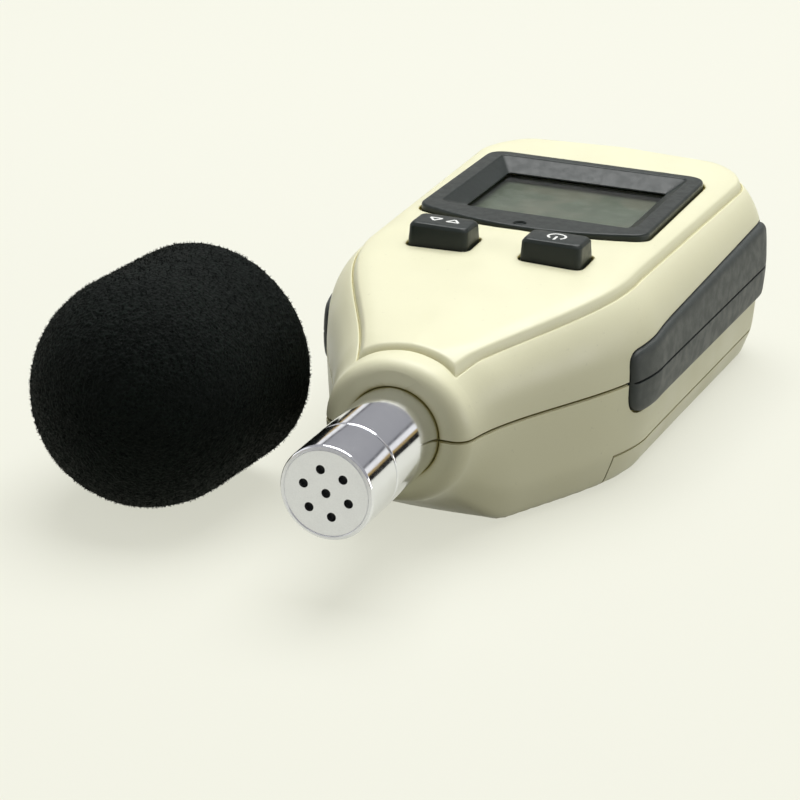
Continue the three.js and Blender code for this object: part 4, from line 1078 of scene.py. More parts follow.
def modifier_from(obj, tree, values):
    """Runs a geometry tree on obj with its named inputs set by identifier, and keeps the result."""
    change = obj.modifiers.new(tree.name, "NODES")
    change.node_group = tree
    for item in tree.interface.items_tree:
        if item.item_type == "SOCKET" and item.in_out == "INPUT" and item.name in values:
            change[item.identifier] = values[item.name]
    return settle(obj)


class Shape(Tree):
    """A geometry tree with named inputs, ending in realized instances and one material."""

    def __init__(self, name, inputs):
        super().__init__(bpy.data.node_groups.new(name, "GeometryNodeTree"))
        self.tree.is_modifier = True
        sockets = self.tree.interface
        sockets.new_socket("Geometry", in_out="INPUT", socket_type="NodeSocketGeometry")
        for label, (kind, default) in inputs.items():
            socket = sockets.new_socket(label, in_out="INPUT", socket_type=f"NodeSocket{kind}")
            if default is not None:
                socket.default_value = default
        sockets.new_socket("Material", in_out="INPUT", socket_type="NodeSocketMaterial")
        sockets.new_socket("Geometry", in_out="OUTPUT", socket_type="NodeSocketGeometry")
        self.entry = self.tree.nodes.new("NodeGroupInput").outputs
        self.exit = self.tree.nodes.new("NodeGroupOutput").inputs

    def end(self, geometry):
        realized = self.out("GeometryNodeRealizeInstances", {"Geometry": geometry})
        material = self.entry["Material"]
        painted = self.out("GeometryNodeSetMaterial", {"Geometry": realized, "Material": material})
        self.tree.links.new(painted, self.exit["Geometry"])
        return self.tree

    def vector(self, x=0.0, y=0.0, z=0.0):
        return self.out("ShaderNodeCombineXYZ", {"X": x, "Y": y, "Z": z})


def points_object(name, points):
    mesh = bpy.data.meshes.new(name)
    mesh.from_pydata([tuple(map(float, p)) for p in points], [], [])
    return new_object(name, mesh)


def thumb_ribs():
    """Cutter for the row of shallow thumb grooves near the door's front edge."""
    shape = Shape("thumb_grooves", {
        "Count": ("Int", 6), "Pitch": ("Float", 1.6 * MM), "Length": ("Float", 16 * MM),
        "Radius": ("Float", 0.55 * MM),
    })
    line = shape.out("GeometryNodeMeshLine", {
        "Count": shape.entry["Count"], "Start Location": (0, DOOR_EDGE + 9 * MM, 0),
        "Offset": shape.vector(y=shape.entry["Pitch"]),
    })
    rod = shape.out("GeometryNodeMeshCylinder", {
        "Vertices": 16, "Radius": shape.entry["Radius"], "Depth": shape.entry["Length"],
    })
    rods = shape.out("GeometryNodeInstanceOnPoints", {
        "Points": line, "Instance": rod, "Rotation": (0, math.pi / 2, 0),
    })
    start = points_object("thumb_grooves", [(0, 0, 0)])
    return modifier_from(start, shape.end(rods), {})


# ------------------------------------------------------------------ display

def build_bezel(material):
    rim = BEZEL_HIGH.z
    outer = bezel_ring()
    top = frame_outline(18.9 * MM, 20.4 * MM, 54.6 * MM, 0.0, 2.2 * MM, 1.6 * MM)
    bottom = frame_outline(16.1 * MM, 25.6 * MM, 50.2 * MM, 0.0, 2.4 * MM, 0.8 * MM)
    collar = frame_outline(*COLLAR, 0.0, 1 * MM, 1 * MM)
    deep = rim - BEZEL_LOW.z
    body = ring_object("display_bezel", [level(grown(ring, by * MM), rim - z) for ring, by, z in (
        (outer, 0, BEZEL_PLATE), (outer, 0, 0.5 * MM), (outer, -0.1, 0.22 * MM), (outer, -0.28, 0.06 * MM),
        (outer, -0.5, 0), (top, 0.3, 0), (top, 0.1, 0.05 * MM), (top, 0, 0.14 * MM), (top, -0.1, 0.3 * MM),
        (bottom, 0, deep - 0.25 * MM), (bottom, -0.02, deep - 0.1 * MM), (bottom, 0, deep),
        (collar, 0, deep), (collar, 0, BEZEL_PLATE),
    )], ends=False)
    turn = full_turn(32)
    oval = lambda k: np.column_stack([
        -0.9 * MM + 1.2 * MM * k * np.cos(turn), BEZEL_LOW.y + (1.8 + 1.25 * k * np.sin(turn)) * MM])
    carve(body, stack(
        "oval_recess", (oval(0.86), rim - 0.45 * MM), (oval(0.95), rim - 0.4 * MM),
        (oval(1.0), rim - 0.1 * MM), (oval(1.08), rim + 0.02 * MM), (oval(1.1), rim + 0.5 * MM),
    ))
    return soften(paint(body, material), 38)


# ------------------------------------------------------------------ buttons

def build_button(word, low, high, top, pieces, material):
    """A button's cap above its lip, with a bevelled and rounded top, its lip and its stem."""
    r = pieces.button_corner
    edge = pieces.button_edge
    switch_low, switch_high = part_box(f"{word}_button")
    ring = lambda side, front, rear, corner=r: rectangle(
        (low[0] + side, low[1] + front), (high[0] - side, high[1] - rear), corner, 9)
    cap = stack(
        f"{word}_cap",
        (ring(0, 0, 0), PANEL_TOP - 3.6 * MM),
        (ring(0, 0, 0), PANEL_TOP + 0.3 * MM),
        (ring(0.1 * MM, 0.2 * MM, 0.35 * MM), top - 0.75 * MM),
        (ring(0.16 * MM, 0.28 * MM, 0.45 * MM), top - 0.6 * MM),
        (ring(0.45 * MM, 0.55 * MM, 0.8 * MM), top - 0.2 * MM),
        (ring(0.58 * MM, 0.68 * MM, 0.95 * MM), top - 0.09 * MM),
        (ring(0.65 * MM + edge / 2, 0.75 * MM + edge / 2, 1.1 * MM + edge / 2, r * 0.9), top - 0.02 * MM),
        (ring(2.6 * MM, 2.2 * MM, 2.2 * MM, r * 0.6), top),
    )
    lip = block("lip", (switch_low.x, switch_low.y, PANEL_TOP - 4.35 * MM),
                (switch_high.x, switch_high.y, PANEL_TOP - 3.35 * MM))
    carve(cap, lip, "UNION")
    x, y = (low[0] + high[0]) / 2, (low[1] + high[1]) / 2
    carve(cap, post("stem", x, y, 2.2 * MM, switch_low.z, PANEL_TOP - 3.8 * MM), "UNION")
    return soften(paint(cap, material), 40)


def stroke(path, width, z):
    """Rings of a flat printed stroke along a path seen from above."""
    thick = 0.06 * MM
    path = np.asarray(path, float)
    along = np.gradient(path, axis=0)
    along /= np.linalg.norm(along, axis=1)[:, None]
    side = np.column_stack([-along[:, 1], along[:, 0]]) * width / 2
    rings = []
    for p, n in zip(path, side):
        a, b = p + n, p - n
        rings.append([(*a, z - thick), (*b, z - thick), (*b, z), (*a, z)])
    return rings


def build_mark(word, low, high, top, material):
    """The white mark printed on a button: a power sign, or a pair of range arrows."""
    x, y = (low[0] + high[0]) / 2, (low[1] + high[1]) / 2 + 0.1 * MM
    z = top + 0.015 * MM
    width = 0.44 * MM
    if word == "power":
        turn = np.linspace(math.radians(-55), math.radians(235), 40)
        circle = np.column_stack([x + 1.6 * MM * np.cos(turn), y + 1.35 * MM * np.sin(turn)])
        bar = np.array([[x, y - 1.9 * MM], [x, y - 0.9 * MM], [x, y]])
        strokes = [circle, bar]
    else:
        strokes = []
        half = 1.15 * MM
        for side in (-1, 1):
            cx = x + side * 1.75 * MM
            tip, base = y + side * 0.85 * MM, y - side * 0.65 * MM
            strokes.append([(cx + dx, base) for dx in (-half, -0.5 * MM, 0.5 * MM, half)])
            for leg in (-half, half):
                strokes.append([(cx + leg, base), (cx + leg / 2, (tip + base) / 2), (cx, tip)])
    body, *rest = [ring_object("stroke", stroke(path, width, z)) for path in strokes]
    for part in rest:
        carve(body, part, "UNION")
    body.name = f"{word}_mark"
    return paint(body, material)


# ------------------------------------------------------------------ microphone

def build_cap(pieces, chrome):
    """The microphone's cap, pierced by a ring of holes round a middle one."""
    r, y0, y1 = MIC_RADIUS, CAP_LOW.y, CAP_HIGH.y
    bend_radius = 0.55 * MM
    bend = [(r - bend_radius + bend_radius * math.sin(t), y0 + 0.1 * MM + bend_radius * (1 - math.cos(t)))
            for t in np.linspace(0, math.pi / 2, 7)]
    inner = r - TUBE_WALL
    profile = [
        (0.01 * MM, y0 + 0.12 * MM), (3 * MM, y0 + 0.12 * MM), (r - 1.0 * MM, y0 + 0.12 * MM),
        (r - 0.86 * MM, y0 + 0.14 * MM), (r - 0.8 * MM, y0 + 0.2 * MM), (r - 0.74 * MM, y0 + 0.12 * MM),
        (r - 0.66 * MM, y0 + 0.02 * MM), *bend, (r, y0 + 5 * MM), (r, y1 - 0.3 * MM),
        (r - 0.08 * MM, y1 - 0.1 * MM), (r - 0.3 * MM, y1), (inner, y1), (inner, y0 + 1 * MM),
        (0.01 * MM, y0 + 1 * MM),
    ]
    body = lathe("microphone_cap", profile, (0, AXIS_Z), 128)
    shape = Shape("pierced_cap", {
        "Hole Radius": ("Float", 0.8 * MM), "Circle Radius": ("Float", 4 * MM), "Count": ("Int", 6),
        "Turn": ("Float", 1.82),
    })
    circle = shape.out("GeometryNodeMeshCircle", {
        "Vertices": shape.entry["Count"], "Radius": shape.entry["Circle Radius"],
    })
    turned = shape.out("GeometryNodeTransform", {
        "Geometry": circle, "Rotation": shape.vector(z=shape.entry["Turn"]),
    })
    middle = shape.out("GeometryNodeMeshLine", {"Count": 1})
    spots = shape.add("GeometryNodeJoinGeometry", {"Geometry": turned})
    shape.tree.links.new(middle, spots.inputs["Geometry"])
    drill = shape.out("GeometryNodeMeshCylinder", {
        "Vertices": 28, "Radius": shape.entry["Hole Radius"], "Depth": 4 * MM,
    })
    drills = shape.out("GeometryNodeInstanceOnPoints", {"Points": spots.outputs[0], "Instance": drill})
    upright = shape.out("GeometryNodeTransform", {
        "Geometry": drills, "Translation": (0, y0, AXIS_Z), "Rotation": (math.pi / 2, 0, 0),
    })
    solid = shape.out("GeometryNodeRealizeInstances", {"Geometry": upright})
    pierced = shape.out("GeometryNodeMeshBoolean", {
        "Mesh 1": shape.entry["Geometry"], "Mesh 2": solid,
    }, operation="DIFFERENCE", solver="MANIFOLD")
    modifier_from(body, shape.end(pierced), {
        "Hole Radius": pieces.hole_radius, "Circle Radius": pieces.hole_circle,
        "Count": pieces.hole_count, "Material": chrome,
    })
    return soften(body, 30)


def build_tube(chrome):
    r, y0, y1 = MIC_RADIUS, TUBE_LOW.y, TUBE_HIGH.y
    inner = r - TUBE_WALL
    body = lathe("microphone_tube", [
        (inner, y0), (r - 0.3 * MM, y0), (r - 0.08 * MM, y0 + 0.1 * MM), (r, y0 + 0.3 * MM),
        (r, (y0 + y1) / 2), (r, y1), (inner, y1),
    ], (0, AXIS_Z), 128, ends=False)
    return soften(paint(body, chrome), 30)


# ------------------------------------------------------------------ windscreen

def above_floor(shape, geometry):
    """Presses whatever reaches below the resting surface flat onto it."""
    position = shape.out("GeometryNodeInputPosition")
    parts = shape.add("ShaderNodeSeparateXYZ", {"Vector": position}).outputs
    raised = shape.vector(parts[0], parts[1], shape.sum("MAXIMUM", parts[2], 0.00002))
    return shape.out("GeometryNodeSetPosition", {"Geometry": geometry, "Position": raised})


def build_windscreen(pieces, material):
    """Foam bullet: a smooth form whose surface is broken into open cells, with cut strands on it."""
    radius = (FOAM_HIGH.z - FOAM_LOW.z) / 2
    half_length = 21.75 * MM
    inset = 0.1 * MM  # room inside the frame's size for the broken surface
    skin, half = radius - inset, half_length - inset
    centre = Vector(((FOAM_LOW.x + FOAM_HIGH.x) / 2, (FOAM_LOW.y + FOAM_HIGH.y) / 2, radius))
    yaw = math.radians(-5)
    edge, bore, depth, lip_radius = 5 * MM, 7.6 * MM, 26 * MM, 0.6 * MM
    dome = [(skin * math.sin(t), -half + skin * (1 - math.cos(t)))
            for t in np.linspace(0.012, math.pi / 2, 90)]
    side = [(skin, y) for y in np.linspace(-half + skin, half - edge, 44)[1:-1]]
    rim = [(skin - edge + edge * math.cos(t), half - edge + edge * math.sin(t))
           for t in np.linspace(0, math.pi / 2, 22)]
    end = [(x, half) for x in np.linspace(skin - edge, bore + lip_radius, 16)[1:]]
    lip = [(bore + lip_radius - lip_radius * math.sin(t), half - lip_radius * (1 - math.cos(t)))
           for t in np.linspace(0.3, math.pi / 2, 5)]
    wall = [(bore, y) for y in np.linspace(half - lip_radius, half - depth, 40)[1:]]
    floor = [(x, half - depth) for x in np.linspace(bore, 0.2 * MM, 12)[1:]]
    body = lathe("foam_windscreen", [*dome, *side, *rim, *end, *lip, *wall, *floor], (0, 0), 300)
    body.data.transform(Matrix.Translation(centre) @ Matrix.Rotation(yaw, 4, "Z"))
    shape = Shape("open_cell_foam", {
        "Cell": ("Float", 0.5 * MM), "Pit": ("Float", 0.4 * MM), "Strands": ("Int", 14000),
        "Strand Length": ("Float", 0.42 * MM), "Seed": ("Int", 4),
    })
    position = shape.out("GeometryNodeInputPosition")
    normal = shape.out("GeometryNodeInputNormal")
    scale = shape.sum("DIVIDE", 1.0, shape.entry["Cell"])
    cells = shape.out("ShaderNodeTexVoronoi", {"Vector": position, "Scale": scale})
    patches = shape.out("ShaderNodeTexNoise", {
        "Vector": position, "Scale": shape.sum("MULTIPLY", scale, 0.35), "Detail": 2})
    fine = shape.out("ShaderNodeTexNoise", {
        "Vector": position, "Scale": shape.sum("MULTIPLY", scale, 3.0), "Detail": 1})
    dip = shape.sum("SUBTRACT", 0.75, cells)
    mixed = shape.sum("ADD", shape.sum("MULTIPLY", shape.sum("SUBTRACT", fine, 0.5), 0.5),
                      shape.sum("MULTIPLY", shape.sum("SUBTRACT", patches, 0.5), 0.35))
    height = shape.sum("MULTIPLY", shape.sum("SUBTRACT", mixed, dip), shape.entry["Pit"])
    offset = shape.out("ShaderNodeVectorMath", {0: normal, "Scale": height}, operation="SCALE")
    broken = shape.out("GeometryNodeSetPosition", {"Geometry": shape.entry["Geometry"], "Offset": offset})
    broken = above_floor(shape, broken)
    area = shape.add("GeometryNodeDistributePointsOnFaces", {
        "Mesh": broken, "Density": shape.sum("MULTIPLY", shape.entry["Strands"], 140.0),
        "Seed": shape.entry["Seed"],
    })
    strand = shape.out("GeometryNodeMeshCone", {
        "Vertices": 3, "Radius Top": 0.03 * MM, "Radius Bottom": 0.07 * MM,
        "Depth": shape.entry["Strand Length"],
    })
    lean = shape.out("FunctionNodeRandomValue", {
        0: (-1.1, -1.1, 0.0), 1: (1.1, 1.1, 6.28), "Seed": shape.entry["Seed"],
    }, data_type="FLOAT_VECTOR")
    turned = shape.out("FunctionNodeRotateRotation", {
        "Rotation": area.outputs["Rotation"], "Rotate By": lean,
    }, rotation_space="LOCAL")
    strands = shape.out("GeometryNodeInstanceOnPoints", {
        "Points": area.outputs["Points"], "Instance": strand, "Rotation": turned,
    })
    both = shape.add("GeometryNodeJoinGeometry", {"Geometry": broken})
    grown_strands = shape.out("GeometryNodeRealizeInstances", {"Geometry": strands})
    shape.tree.links.new(above_floor(shape, grown_strands), both.inputs["Geometry"])
    modifier_from(body, shape.end(both.outputs[0]), {
        "Cell": pieces.foam_cell, "Pit": pieces.foam_pit, "Strands": pieces.foam_strands,
        "Material": material,
    })
    for face in body.data.polygons:
        face.use_smooth = True
    return body


# ------------------------------------------------------------------ screws and springs

def build_screws(group, material):
    """Cross-head screws on their spots, heads down."""
    low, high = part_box(f"{group}_1")
    height = high.z - low.z
    head, tall, shank = 2.1 * MM, 1.4 * MM, 1.05 * MM
    turn = full_turn(40)
    circle = np.column_stack([np.cos(turn), np.sin(turn)])
    profile = [(0.9 * MM, 0.0), (1.6 * MM, 0.06 * MM), (head - 0.18 * MM, 0.3 * MM), (head, 0.55 * MM),
               (head, tall - 0.08 * MM), (head - 0.08 * MM, tall), (shank, tall),
               (shank, height - 0.9 * MM), (0.35 * MM, height)]
    screw = stack("screw", *[(circle * r, z) for r, z in profile])
    for x, y in ((1.25 * MM, 0.3 * MM), (0.3 * MM, 1.25 * MM)):
        carve(screw, block("slot", (-x, -y, -1 * MM), (x, y, 0.65 * MM)))
    soften(screw, 35)
    shape = Shape("cross_head_screws", {"Screw": ("Object", None), "Turn": ("Float", 0.4)})
    source = shape.add("GeometryNodeObjectInfo", {"Object": shape.entry["Screw"]})
    order = shape.out("GeometryNodeInputIndex")
    turned = shape.vector(z=shape.sum("MULTIPLY", order, shape.entry["Turn"]))
    screws = shape.out("GeometryNodeInstanceOnPoints", {
        "Points": shape.entry["Geometry"], "Instance": source.outputs["Geometry"], "Rotation": turned,
    })
    spots = points_object(f"{group}s", screw_spots(group))
    modifier_from(spots, shape.end(screws), {"Screw": screw, "Material": material})
    bpy.data.objects.remove(screw)
    return spots


def build_springs(pieces, material):
    """Tapered battery springs, wide end on the contact plate."""
    boxes = [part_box(f"battery_spring_{i}") for i in (1, 2, 3)]
    cells = [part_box(f"battery_cell_{i}") for i in (1, 2, 3)]
    long = boxes[0][1].y - boxes[0][0].y - 2 * pieces.wire_radius
    points, turns = [], []
    for (low, high), (cell_low, cell_high) in zip(boxes, cells):
        rear = low.y > (cell_low.y + cell_high.y) / 2
        y = high.y - pieces.wire_radius if rear else low.y + pieces.wire_radius
        points.append(((low.x + high.x) / 2, y, (cell_low.z + cell_high.z) / 2))
        turns.append(math.pi / 2 if rear else -math.pi / 2)
    spots = points_object("battery_springs", points)
    turn = spots.data.attributes.new("turn", "FLOAT", "POINT")
    turn.data.foreach_set("value", turns)
    shape = Shape("tapered_springs", {
        "Turns": ("Float", 4.5), "Wide": ("Float", 3.5 * MM), "Narrow": ("Float", 2.4 * MM),
        "Length": ("Float", 5 * MM), "Wire": ("Float", 0.36 * MM),
    })
    coil = shape.out("GeometryNodeCurveSpiral", {
        "Resolution": 28, "Rotations": shape.entry["Turns"], "Start Radius": shape.entry["Wide"],
        "End Radius": shape.entry["Narrow"], "Height": shape.entry["Length"],
    })
    wire = shape.out("GeometryNodeCurvePrimitiveCircle", {"Resolution": 10, "Radius": shape.entry["Wire"]})
    spring = shape.out("GeometryNodeCurveToMesh", {"Curve": coil, "Profile Curve": wire, "Fill Caps": True})
    lean = shape.out("GeometryNodeInputNamedAttribute", {"Name": "turn"}, data_type="FLOAT")
    springs = shape.out("GeometryNodeInstanceOnPoints", {
        "Points": shape.entry["Geometry"], "Instance": spring, "Rotation": shape.vector(x=lean),
    })
    modifier_from(spots, shape.end(springs), {
        "Turns": pieces.coil_turns, "Length": long, "Wire": pieces.wire_radius, "Material": material,
    })
    return soften(spots, 60)


# ------------------------------------------------------------------ operators

class Maker(bpy.types.Operator):
    """Options that the operators below share"""
    bl_options = {"REGISTER", "UNDO"}


class METER_OT_front_case(Maker):
    """Make the front half of the case with its raised panel and its openings"""
    bl_idname = "meter.front_case"
    bl_label = "Front case"

    def execute(self, context):
        scene = context.scene
        body = build_front_case(scene.meter_case, ivory_finish(scene.meter_colours))
        place(body, "case", "ivory_case", "front_shell")
        return {"FINISHED"}


class METER_OT_rear_case(Maker):
    """Make the rear half of the case with the battery bay"""
    bl_idname = "meter.rear_case"
    bl_label = "Rear case"

    def execute(self, context):
        scene = context.scene
        body = build_rear_case(scene.meter_case, ivory_finish(scene.meter_colours))
        place(body, "case", "ivory_case", "rear_shell")
        return {"FINISHED"}


class METER_OT_battery_cover(Maker):
    """Make the sliding battery cover"""
    bl_idname = "meter.battery_cover"
    bl_label = "Battery cover"

    def execute(self, context):
        scene = context.scene
        body = build_door(scene.meter_case, ivory_finish(scene.meter_colours))
        place(body, "battery_door", "ivory_case", "battery_door")
        return {"FINISHED"}


class METER_OT_grips(Maker):
    """Make the four rubber grips set into the sides"""
    bl_idname = "meter.grips"
    bl_label = "Grips"

    def execute(self, context):
        scene = context.scene
        rubber = rubber_finish(scene.meter_colours)
        for side, word in ((-1, "left"), (1, "right")):
            for half in ("front", "rear"):
                body = grip_solid(scene.meter_case, side, half == "front", f"{word}_{half}_grip_cover")
                place(soften(paint(body, rubber), 40), "case", "grip_rubber", f"{half}_grip_{word}")
        return {"FINISHED"}


class METER_OT_display(Maker):
    """Make the display's bezel and give the glass under it its look"""
    bl_idname = "meter.display"
    bl_label = "Display"

    def execute(self, context):
        scene = context.scene
        place(build_bezel(charcoal_finish(scene.meter_colours)), "case", "dark_plastic", "lcd_bezel")
        repaint(window_finish(), "lcd_window")
        repaint(display_finish(scene.meter_colours), "lcd_glass")
        repaint(moulded("milky_plastic", (0.72, 0.74, 0.70), 0.4), "lcd_backlight", "lcd_holder")
        repaint(moulded("strip_rubber", (0.22, 0.22, 0.24), 0.6), "lcd_strip_near", "lcd_strip_far")
        return {"FINISHED"}


class METER_OT_buttons(Maker):
    """Make the two buttons and the marks printed on them"""
    bl_idname = "meter.buttons"
    bl_label = "Buttons"

    def execute(self, context):
        scene = context.scene
        dark = charcoal_finish(scene.meter_colours)
        white = print_finish(scene.meter_colours)
        for word, low, high, top in button_spots():
            cap = build_button(word, low, high, top, scene.meter_pieces, dark)
            place(cap, f"{word}_button", "dark_plastic", f"{word}_button")
            place(build_mark(word, low, high, top, white), f"{word}_button", "milky_plastic")
        return {"FINISHED"}


class METER_OT_microphone(Maker):
    """Make the microphone's pierced cap and its tube"""
    bl_idname = "meter.microphone"
    bl_label = "Microphone"

    def execute(self, context):
        scene = context.scene
        bright = chrome_finish("chrome", scene.meter_colours.chrome, 0.09, 0.0006 * MM)
        place(build_cap(scene.meter_pieces, bright), "case", "chrome", "mic_cap")
        place(build_tube(bright), "case", "chrome", "mic_tube")
        repaint(mesh_cloth_finish(), "mic_mesh")
        return {"FINISHED"}


class METER_OT_fasteners(Maker):
    """Make the screws of the case and of the circuit board"""
    bl_idname = "meter.fasteners"
    bl_label = "Fasteners"

    def execute(self, context):
        steel = satin_metal("zinc_steel", (0.52, 0.53, 0.54), 0.35)
        for group in ("case_screw", "board_screw"):
            nodes = [f"{group}_{i}" for i in range(1, 5)]
            place(build_screws(group, steel), "case", "steel", *nodes)
        return {"FINISHED"}


class METER_OT_batteries(Maker):
    """Make the battery springs and give the cells and contacts their look"""
    bl_idname = "meter.batteries"
    bl_label = "Batteries"

    def execute(self, context):
        scene = context.scene
        nickel = satin_metal("nickel", (0.66, 0.62, 0.55), 0.28)
        springs = build_springs(scene.meter_pieces, nickel)
        place(springs, "case", "nickel", *[f"battery_spring_{i}" for i in (1, 2, 3)])
        repaint(nickel, *[f"contact_plate_{word}" for word in ("plus", "front", "rear", "minus")])
        repaint(jacket_finish(scene.meter_colours), *[f"battery_cell_{i}" for i in (1, 2, 3)])
        return {"FINISHED"}


class METER_OT_electronics(Maker):
    """Give the circuit board and the parts on it their look"""
    bl_idname = "meter.electronics"
    bl_label = "Electronics"

    def execute(self, context):
        scene = context.scene
        black = moulded("black_resin", (0.02, 0.02, 0.022), 0.5, 0.2 * MM, 0.01 * MM)
        repaint(board_finish(scene.meter_colours), "main_board")
        repaint(black, "processor_chip", "amplifier_chip", "memory_chip", "range_switch", "power_switch",
                "nose_bush")
        repaint(satin_metal("can_steel", (0.6, 0.6, 0.58), 0.3, (1, 0.1, 1)), "crystal_can", "mic_capsule")
        repaint(moulded("shrink_sleeve", (0.02, 0.04, 0.12), 0.3), "supply_capacitor", "coupling_capacitor")
        repaint(moulded("nylon", (0.66, 0.65, 0.58), 0.5),
                "range_plunger", "power_plunger", "capsule_holder")
        repaint(moulded("red_wire", (0.5, 0.03, 0.02), 0.4), "mic_lead_signal", "battery_lead_plus")
        repaint(moulded("black_wire", (0.02, 0.02, 0.02), 0.4), "mic_lead_ground", "battery_lead_minus")
        return {"FINISHED"}


class METER_OT_windscreen(Maker):
    """Make the foam windscreen that lies beside the meter"""
    bl_idname = "meter.windscreen"
    bl_label = "Windscreen"

    def execute(self, context):
        scene = context.scene
        body = build_windscreen(scene.meter_pieces, foam_finish(scene.meter_colours))
        place(body, "windscreen", "foam", "windscreen")
        return {"FINISHED"}


class METER_OT_stage(Maker):
    """Make the floor, the lights, the surroundings and the camera"""
    bl_idname = "meter.stage"
    bl_label = "Stage"

    def execute(self, context):
        build_floor()
        build_lights()
        build_surroundings(context.scene)
        build_camera(context.scene)
        return {"FINISHED"}


# ------------------------------------------------------------------ stage

def build_floor():
    """Pale floor that throws only a little light back up under the meter."""
    side = 3.0
    floor = block("floor", (-side, -side, -4 * MM), (side, side, -0.4 * MM))
    f = Finish("pale_floor", (0.9, 0.905, 0.83), 0.7, specular_ior_level=0.1)
    f.colour(f.tones(f.noise(90 * MM, 3), 0.985, 1.0))
    f.bumps((f.noise(0.8 * MM, 2), 0.004 * MM))
    glow = f.add("ShaderNodeEmission", {"Color": (1.0, 1.0, 0.86, 1), "Strength": 0.85})
    shown = f.add("ShaderNodeMixShader", {0: 0.72, 1: f.shader.outputs[0], 2: glow.outputs[0]})
    dull = f.add("ShaderNodeBsdfDiffuse", {"Color": (0.16, 0.155, 0.12, 1)})
    bounce = f.add("ShaderNodeLightPath").outputs["Is Diffuse Ray"]
    both = f.add("ShaderNodeMixShader", {0: bounce, 1: shown.outputs[0], 2: dull.outputs[0]})
    f.tree.links.new(both.outputs[0], f.output.inputs["Surface"])
    paint(floor, f.material)


def build_lights():
    """Soft lights aimed at the middle of the meter: name, power, size and place."""
    aim = Vector((0, 0, 20 * MM))
    for name, power, size, at in (
        ("overhead", 12.6, (0.9, 0.9), (-0.05, 0.3, 0.95)),
        ("right_fill", 2.5, (0.7, 0.35), (1.0, 0.05, 0.14)),
        ("left_fill", 0.8, (0.5, 0.5), (-0.9, -0.3, 0.4)),
    ):
        light = bpy.data.lights.new(name, "AREA")
        light.shape = "RECTANGLE"
        light.size, light.size_y = size
        light.energy = power
        facing = (Vector(at) - aim).to_track_quat("Z", "Y").to_matrix().to_4x4()
        new_object(name, light).matrix_world = Matrix.Translation(at) @ facing


def build_surroundings(scene):
    """Cream room that the camera sees, with a darker horizon for what the chrome mirrors."""
    world = bpy.data.worlds.new("studio")
    world.use_nodes = True
    scene.world = world
    t = Tree(world.node_tree)
    t.tree.nodes.clear()
    direction = t.add("ShaderNodeTexCoord").outputs["Generated"]
    height = t.add("ShaderNodeSeparateXYZ", {"Vector": direction}).outputs["Z"]
    ramp = t.add("ShaderNodeValToRGB", {"Fac": t.sum("MULTIPLY_ADD", height, 0.5, 0.5)})
    black, dark, grey = (0.02, 0.02, 0.02), (0.1, 0.1, 0.11), (0.42, 0.42, 0.44)
    brown, pale, white = (0.5, 0.36, 0.15), (0.5, 0.5, 0.51), (1.1, 1.1, 1.1)
    stops = [(0.0, white), (0.44, grey), (0.46, black), (0.548, black), (0.556, brown), (0.575, brown),
             (0.585, white), (0.625, white), (0.645, dark), (0.665, grey), (0.9, pale)]
    while len(ramp.color_ramp.elements) < len(stops):
        ramp.color_ramp.elements.new(0.5)
    for element, (position, value) in zip(ramp.color_ramp.elements, stops):
        element.position = position
        element.color = (*value, 1)
    rays = t.add("ShaderNodeLightPath").outputs
    strength = t.sum("MULTIPLY_ADD", rays["Is Diffuse Ray"], -0.42, 0.9)
    room = t.add("ShaderNodeBackground", {"Color": ramp.outputs[0], "Strength": strength})
    seen = t.add("ShaderNodeBackground", {"Color": (1.0, 1.0, 0.86, 1), "Strength": 1.0})
    both = t.add("ShaderNodeMixShader", {0: rays["Is Camera Ray"], 1: room.outputs[0], 2: seen.outputs[0]})
    t.add("ShaderNodeOutputWorld", {"Surface": both.outputs[0]})


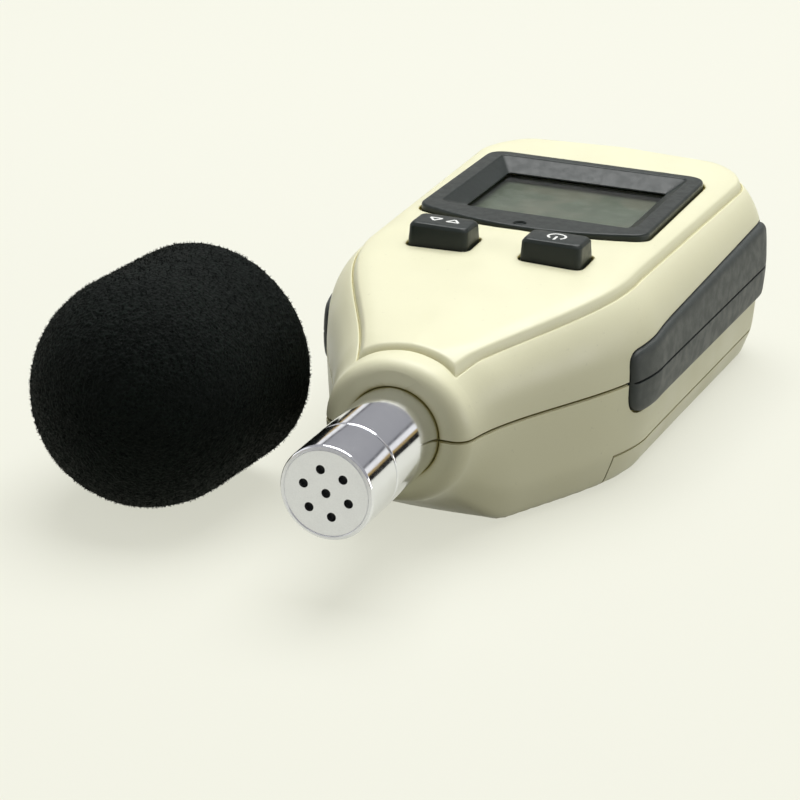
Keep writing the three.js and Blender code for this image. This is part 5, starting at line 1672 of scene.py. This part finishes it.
def build_camera(scene):
    """A long lens on a line given by its angle round the meter, its height and its roll."""
    around, above, roll = (math.radians(v) for v in (21.908, 21.688, 1.276))
    level_back = Vector((math.sin(around), -math.cos(around), 0))
    back = level_back * math.cos(above) + Vector((0, 0, math.sin(above)))
    level_right = Vector((math.cos(around), math.sin(around), 0))
    level_up = back.cross(level_right)
    right = level_right * math.cos(roll) + level_up * math.sin(roll)
    up = level_up * math.cos(roll) - level_right * math.sin(roll)
    camera = bpy.data.cameras.new("camera")
    camera.lens = 121.5
    camera.sensor_width = 36
    camera.clip_start = 10 * MM
    obj = new_object("camera", camera)
    turn = Matrix((right, up, back)).transposed().to_4x4()
    obj.matrix_world = Matrix.Translation((154.54 * MM, -428.71 * MM, 188.79 * MM)) @ turn
    scene.camera = obj
    scene.view_settings.view_transform = "Standard"


# ------------------------------------------------------------------ panel and run

STEPS = (
    METER_OT_stage, METER_OT_front_case, METER_OT_rear_case, METER_OT_battery_cover, METER_OT_grips,
    METER_OT_display, METER_OT_buttons, METER_OT_microphone, METER_OT_windscreen, METER_OT_fasteners,
    METER_OT_batteries, METER_OT_electronics,
)


class METER_PT_sidebar(bpy.types.Panel):
    """Sizes, colours and the buttons that make each piece"""
    bl_idname = "METER_PT_sidebar"
    bl_label = "Sound level meter"
    bl_space_type = "VIEW_3D"
    bl_region_type = "UI"
    bl_category = "Meter"

    def draw(self, context):
        for group in (context.scene.meter_case, context.scene.meter_pieces, context.scene.meter_colours):
            box = self.layout.box()
            for name in group.__annotations__:
                box.prop(group, name)
        for step in STEPS:
            self.layout.operator(step.bl_idname)


GROUPS = (("meter_case", MeterCase), ("meter_pieces", MeterPieces), ("meter_colours", MeterColours))


def register():
    for name, group in GROUPS:
        bpy.utils.register_class(group)
        setattr(bpy.types.Scene, name, PointerProperty(type=group))
    for cls in (*STEPS, METER_PT_sidebar):
        bpy.utils.register_class(cls)


def unregister():
    for cls in (METER_PT_sidebar, *reversed(STEPS)):
        bpy.utils.unregister_class(cls)
    for name, group in reversed(GROUPS):
        delattr(bpy.types.Scene, name)
        bpy.utils.unregister_class(group)


def main():
    register()
    for step in STEPS:
        group, name = step.bl_idname.split(".")
        getattr(getattr(bpy.ops, group), name)()


if __name__ == "__main__":
    main()
